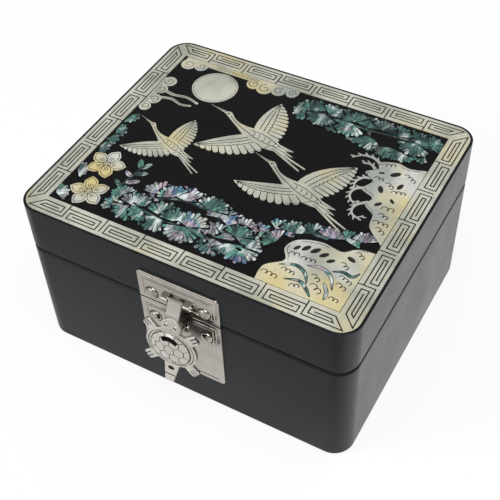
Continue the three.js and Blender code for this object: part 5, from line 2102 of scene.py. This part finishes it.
@dataclass
class RearHinges(Hardware):
    """Two butt hinges on the rear wall."""

    side_x: float = 45.0
    axis_out: float = 1.8
    axis_z: float = 58.95
    width: float = 30.0
    height: float = 12.0
    leaf_thickness: float = 1.0
    knuckle: float = 1.6
    knuckle_gap: float = 0.3
    middle: float = 10.0
    hinge_screw: Point = (2.1, 0.55)

    def build(self) -> None:
        """Builds both hinges, with x across seen from behind."""
        for label, x in (("left", self.side_x), ("right", -self.side_x)):
            place = self.back @ Matrix.Translation((x, self.axis_z, 0))
            self.leaf(f"hinge_{label}_lid_leaf", Body.LID, 1, place)
            self.leaf(f"hinge_{label}_base_leaf", Body.BASE, -1, place)
            rod = Casting()
            half = self.width / 2 + 0.4
            rod.rod(0.75, -half, half, 0, self.axis_out, 0.25)
            self.made(rod, f"hinge_{label}_rod", Body.BASE, f"hinge_{label}_pin", place=place)
            for body in (Body.LID, Body.BASE):
                for index in (1, 2):
                    self.screw(f"hinge_{label}_{body.value}_screw_{index}", body,
                               *self.hinge_screw, 25 * index + x, self.back)

    def leaf(self, node: str, body: Body, side: int, place: Matrix) -> None:
        """Makes one leaf with its knuckles.

        Args:
            node: its CAD node.
            body: the body that it rides on.
            side: 1 above the pin, -1 below it.
            place: the hinge's frame.
        """
        work = Casting()
        half, inner, edge = self.width / 2, self.middle / 2, self.knuckle + self.knuckle_gap
        face = work.plate(self.width, self.height, 1.4, 0, 8, lambda corner: corner.y * side > 0)
        work.raised(face, self.leaf_thickness)
        work.eased(lambda p: p.z > self.leaf_thickness - 0.01, 0.2, 2)
        work.moved(Matrix.Translation((0, side * (edge + self.height / 2), 0)))
        low, high = sorted((0, side * (edge + 1)))
        spans = [(0.2 - inner, inner - 0.2)] if side > 0 else [(-half, -inner), (inner, half)]
        for start, end in spans:
            work.block((start, low, 0), (end, high, self.leaf_thickness), ease=0)
            work.rod(self.knuckle, start, end, 0, self.axis_out)
        self.made(work, node + "_cast", body, node, place=place)


def fit_hardware(finishes: Finishes) -> None:
    """Builds every nickel fitting.

    Args:
        finishes: the materials.
    """
    RearHinges(finishes).build()
    latch = Hardware(finishes)
    latch.plates()
    latch.keeper()
    latch.pin()
    # Level of each latch screw's painted-shadow ring, just over the plate's panel.
    face = latch.plate_thickness + latch.relief + 0.02
    for label, body, turns in (("upper", Body.LID, (38, 55)), ("lower", Body.BASE, (20, 47))):
        for index, turn in enumerate(turns):
            latch.screw(f"latch_{label}_screw_{index + 1}", body, *latch.latch_screw, turn,
                        latch.front, face)
    TurtleHasp(finishes).build()


# Velvet interior


@dataclass
class VelvetInterior:
    """Covered boards, swollen ring rolls and tray pads, and the lid's lining round its mirror."""

    board_round: float = 0.8
    bed_round: float = 2.2
    roll_start: float = 0.8
    roll_fill: float = 0.8
    pad_start: float = 0.7
    pad_fill: float = 0.5
    pad_seed: int = 20
    wobble: float = 0.08
    held_height: float = 1.2
    voxel: float = 1.5
    frames: int = 20
    pressure: float = 4.0
    scale_up: float = 10.0
    cap: float = 1.6
    rolls: int = 7
    band: float = 2.0
    sight: float = 1.6
    play: float = 0.05
    lip_round: float = 0.6

    def build(self, finishes: Finishes) -> None:
        """Builds all the velvet pieces.

        Args:
            finishes: the materials.
        """
        self.velvet = finishes.slots["velvet"]
        for node in ("lining_front", "lining_back", "lining_left", "lining_right",
                     "divider_long", "divider_cross"):
            self.board(node, self.board_round)
        self.board("ring_bed", self.bed_round)
        for index in range(1, self.rolls + 1):
            self.pad(f"ring_roll_{index}", self.roll_start, 3.2, index)
        for index, node in enumerate(("floor_pad_front", "floor_pad_rear")):
            self.pad(node, self.pad_start, 2.0, self.pad_seed + index)
        self.lid_lining()
        self.mirror_surround()

    def covered(self, work: Workpiece, node: str, body: Body, smooth: float = 60) -> Piece:
        """Finishes a piece in velvet."""
        return work.finish(node + "_velvet", body, self.velvet, "velvet", [node], smooth)

    def slab(self, node: str, gap: float, corner: float) -> Workpiece:
        """Makes a block in a node's box, held back from its sides and top.

        Args:
            node: the CAD node.
            gap: how far it is held back.
            corner: radius of the upright corners.

        Returns:
            The block.
        """
        low, high = box(node)
        size, centre = high - low, (low + high) / 2
        work = Workpiece()
        work.raised(work.plate(size.x - 2 * gap, size.y - 2 * gap, corner, 0, 6), size.z - gap)
        work.moved(Matrix.Translation((centre.x, centre.y, low.z)))
        return work

    def board(self, node: str, radius: float) -> None:
        """Wraps a board in velvet, with every edge rounded.

        Args:
            node: its CAD node.
            radius: the rounding.
        """
        low, high = box(node)
        thin = min((high - low).xy)
        work = self.slab(node, 0, min(radius, thin * 0.45))
        work.eased(at_level(high.z), min(radius, thin * 0.4), 4)
        weighted(self.covered(work, node, Body.BASE))

    def pad(self, node: str, gap: float, corner: float, seed: int) -> None:
        """Makes a pad of filled velvet: a cloth cover swollen over its held base.

        Args:
            node: the CAD node that it stands for.
            gap: how much smaller than the node the cover starts.
            corner: radius of its upright corners.
            seed: seed of its small unevenness.
        """
        low, high = box(node)
        top = high.z - gap
        work = self.slab(node, gap, corner)
        work.eased(at_level(top), min((top - low.z) * 0.6, 5.0), 5)
        piece = self.covered(self.swell(work, node, low, high, seed), node, Body.BASE, 180)
        finer = piece.modifiers.new("finer", "SUBSURF")
        finer.levels = finer.render_levels = 1

    def swell(self, work: Workpiece, name: str, low: Vector, high: Vector,
              seed: int) -> Workpiece:
        """Runs the cover under pressure and keeps it inside its node's box.

        Args:
            work: the closed starting shape, in millimetres.
            name: the node's name.
            low, high: the box's corners.
            seed: seed of the unevenness.

        Returns:
            The swollen shape on a new bench.
        """
        unit = MM * self.scale_up
        cover = linked(name + "_cover", work.mesh(name + "_cover", unit))
        remesh = cover.modifiers.new("even", "REMESH")
        remesh.mode, remesh.voxel_size = "VOXEL", self.voxel * unit
        even = evaluated(cover)
        cover.modifiers.clear()
        cover.data = even
        dice = random.Random(seed)
        start = []
        held = cover.vertex_groups.new(name="held")
        for vertex in even.vertices:
            vertex.co += Vector([dice.uniform(-1, 1) for _ in range(3)]) * self.wobble * unit
            start.append(vertex.co.copy())
            if vertex.co.z < (low.z + self.held_height) * unit:
                held.add([vertex.index], 1.0, "REPLACE")
        cloth = cover.modifiers.new("cloth", "CLOTH")
        cloth.settings.use_pressure = True
        cloth.settings.uniform_pressure_force = self.pressure
        cloth.settings.effector_weights.gravity = 0
        cloth.settings.vertex_group_mass = "held"
        cloth.point_cache.frame_start, cloth.point_cache.frame_end = 1, self.frames
        for number in range(1, self.frames + 1):
            bpy.context.scene.frame_set(number)
        swollen = evaluated(cover)
        bpy.context.scene.frame_set(1)
        for vertex, begin in zip(swollen.vertices, start):
            shift = vertex.co - begin
            if shift.length > self.cap * unit:
                vertex.co = begin + shift.normalized() * self.cap * unit
            for axis in range(3):
                vertex.co[axis] = min(max(vertex.co[axis], low[axis] * unit), high[axis] * unit)
        bench = Workpiece()
        bench.bm.from_mesh(swollen)
        bench.moved(Matrix.Scale(1 / unit, 4))
        bpy.data.objects.remove(cover)
        return bench

    def lid_slab(self, node: str) -> tuple[Workpiece, Face, Face]:
        """Makes a block that fills the box of one of the lid's velvet nodes.

        Args:
            node: the CAD node.

        Returns:
            The block, its lower face and its upper face.
        """
        low, high = box(node)
        work = Workpiece()
        bottom = work.plate(high.x - low.x, high.y - low.y, 1.0, low.z, 4)
        return work, bottom, work.raised(bottom, high.z - low.z)

    def lid_lining(self) -> None:
        """Makes the velvet band round the inside of the lid."""
        low, high = box("lid_lining")
        work, bottom, top = self.lid_slab("lid_lining")
        work.follow(top, (self.band, 0))
        work.follow(bottom, (self.band, 0), (0, high.z - low.z))
        work.opened(top, bottom)
        work.eased(at_level(low.z), self.lip_round)
        weighted(self.covered(work, "lid_lining", Body.LID))

    def mirror_surround(self) -> None:
        """Makes the padded velvet frame of the mirror, with a lip over the glass."""
        low, high = box("mirror_surround")
        glass_low, glass_high = box("mirror_glass")
        work, bottom, top = self.lid_slab("mirror_surround")
        across = (high.x - low.x) / 2 - glass_high.x
        along = (high.y - low.y) / 2 - glass_high.y
        back = -self.sight - self.play
        work.framed(bottom, across + self.sight, along + self.sight, low.z)
        work.follow(bottom, (0, glass_low.z - low.z))
        work.framed(bottom, back, back, glass_low.z)
        work.follow(bottom, (0, high.z - glass_low.z))
        work.framed(top, across - self.play, along - self.play, high.z)
        work.opened(top, bottom)
        inner_x, inner_y = (reach - self.sight + 0.1 for reach in glass_high.xy)
        work.eased(lambda p: abs(p.z - low.z) < 0.01 and abs(p.x) < inner_x
                   and abs(p.y) < inner_y, self.lip_round)
        weighted(self.covered(work, "mirror_surround", Body.LID))


# Studio


@dataclass(frozen=True)
class Lamp:
    """One soft lamp: where it stands, its side, its power and whether gloss mirrors it."""

    name: str
    place: tuple[float, float, float]
    side: float
    watts: float
    mirrored: bool = True

    def build(self, target: Vector) -> None:
        """Hangs the lamp.

        Args:
            target: the point that it is turned to.
        """
        light = bpy.data.lights.new(self.name, "AREA")
        light.shape, light.size, light.energy = "SQUARE", self.side, self.watts
        lamp = linked(self.name, light)
        lamp.location = self.place
        lamp.visible_glossy = self.mirrored
        lamp.rotation_euler = (target - Vector(self.place)).to_track_quat("-Z", "Y").to_euler()


@dataclass
class Studio:
    """White floor, soft lamps and the camera at the photograph's angle."""

    azimuth: float = 31.1746
    elevation: float = 47.3617
    roll: float = 2.7173
    lens: float = 69.07
    film: float = 36
    near_clip: float = 0.01
    camera_place: tuple[float, float, float] = (0.15457, -0.26085, 0.36041)
    floor_side: float = 6.0
    floor_colours: Point = (0.93, 0.96)
    floor_glow: float = 0.86
    glow_reach: Point = (0.14, 0.34)
    near_glow: Point = (0.36, 0.56)
    near_reach: Point = (-0.12, -0.075)
    side_reach: Point = (-0.02, 0.05)
    world_level: float = 0.24
    lamps: tuple[Lamp, ...] = (
        Lamp("key", (-0.62, -0.62, 0.52), 0.34, 6.0, False),
        Lamp("overhead", (0.25, -0.2, 1.0), 0.7, 5.4),
        Lamp("rear", (0.5, 0.75, 0.5), 0.6, 3.6, False),
        Lamp("card", (-0.36, -0.66, 0.17), 0.42, 0.62),
    )

    def build(self, centre: Vector) -> None:
        """Sets up the whole studio round the box.

        Args:
            centre: the middle of the box, in metres.
        """
        for lamp in self.lamps:
            lamp.build(centre)
        self.world()
        self.floor()
        self.camera()
        bpy.context.scene.view_settings.view_transform = "Standard"

    def camera(self) -> None:
        """The camera, turned by azimuth, elevation and roll."""
        a, e, r = (math.radians(v) for v in (self.azimuth, self.elevation, self.roll))
        back = Vector((math.sin(a) * math.cos(e), -math.cos(a) * math.cos(e), math.sin(e)))
        level = Vector((math.cos(a), math.sin(a), 0))
        right = (Matrix.Rotation(-r, 3, back) @ level).normalized()
        turned = Matrix((right, back.cross(right), back)).transposed().to_4x4()
        data = bpy.data.cameras.new("camera")
        data.lens, data.sensor_width, data.clip_start = self.lens, self.film, self.near_clip
        camera = linked("camera", data)
        camera.matrix_world = Matrix.Translation(self.camera_place) @ turned
        bpy.context.scene.camera = camera

    def world(self) -> None:
        """Dim even surroundings that are white where the camera sees them."""
        world = bpy.data.worlds.new("surroundings")
        world.use_nodes = True
        nodes, links = world.node_tree.nodes, world.node_tree.links
        plain = nodes["Background"]
        white = nodes.new("ShaderNodeBackground")
        for light, strength in ((plain, self.world_level), (white, 1)):
            light.inputs["Color"].default_value = (1, 1, 1, 1)
            light.inputs["Strength"].default_value = strength
        path = nodes.new("ShaderNodeLightPath")
        choice = nodes.new("ShaderNodeMixShader")
        for index, source in enumerate((path.outputs["Is Camera Ray"], plain.outputs[0],
                                        white.outputs[0])):
            links.new(source, choice.inputs[index])
        links.new(choice.outputs[0], nodes["World Output"].inputs["Surface"])
        bpy.context.scene.world = world

    def floor(self) -> None:
        """Pale floor that takes the box's shadow and glows where it is seen or mirrored."""
        bench = Workpiece()
        bench.plate(self.floor_side, self.floor_side, 0)
        floor = linked("floor", bench.mesh("floor"))
        mix = Recipe("pale_floor")
        dark, pale = ((level, level, level, 1) for level in self.floor_colours)
        mix.finished(base_color=mix.ramp(mix.noise(3), (0, dark), (1, pale)), roughness=0.9)
        path = mix.node("LightPath").outputs
        across = mix.sum("DOT_PRODUCT", mix.place, (1, 1, 0), kind="VectorMath")
        apart = mix.node("SeparateXYZ", vector=mix.place)
        front = mix.level(apart.outputs["Y"], *self.near_glow, *self.near_reach)
        fall = mix.level(across, front, 1, *self.side_reach)
        glow = mix.node("Emission", strength=mix.sum("MAXIMUM", fall, path["Is Camera Ray"]))
        seen = mix.sum("MAXIMUM", path["Is Camera Ray"], path["Is Glossy Ray"])
        seen = mix.sum("MAXIMUM", seen, path["Is Transmission Ray"])
        away = mix.sum("LENGTH", mix.place, kind="VectorMath")
        share = mix.sum("MULTIPLY", seen, mix.level(away, self.floor_glow, 1, *self.glow_reach))
        choice = mix.node("MixShader")
        for index, source in enumerate((share, mix.shader.outputs[0], glow.outputs[0])):
            mix.feed(source, choice.inputs[index])
        mix.feed(choice.outputs[0], mix.tree.nodes["Material Output"].inputs["Surface"])
        floor.data.materials.append(mix.material)
        floor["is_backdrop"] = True


def main() -> None:
    """Builds the box round the frame."""
    logging.basicConfig(level=logging.INFO, format="%(message)s")
    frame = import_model()
    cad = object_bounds()
    finishes = Finishes()
    finishes.dress(frame)
    Carcass().build(finishes)
    InlayPicture().build(finishes, frame["record"])
    fit_hardware(finishes)
    VelvetInterior().build(finishes)
    Studio().build((cad[0] + cad[1]) / 2)


if __name__ == "__main__":
    main()
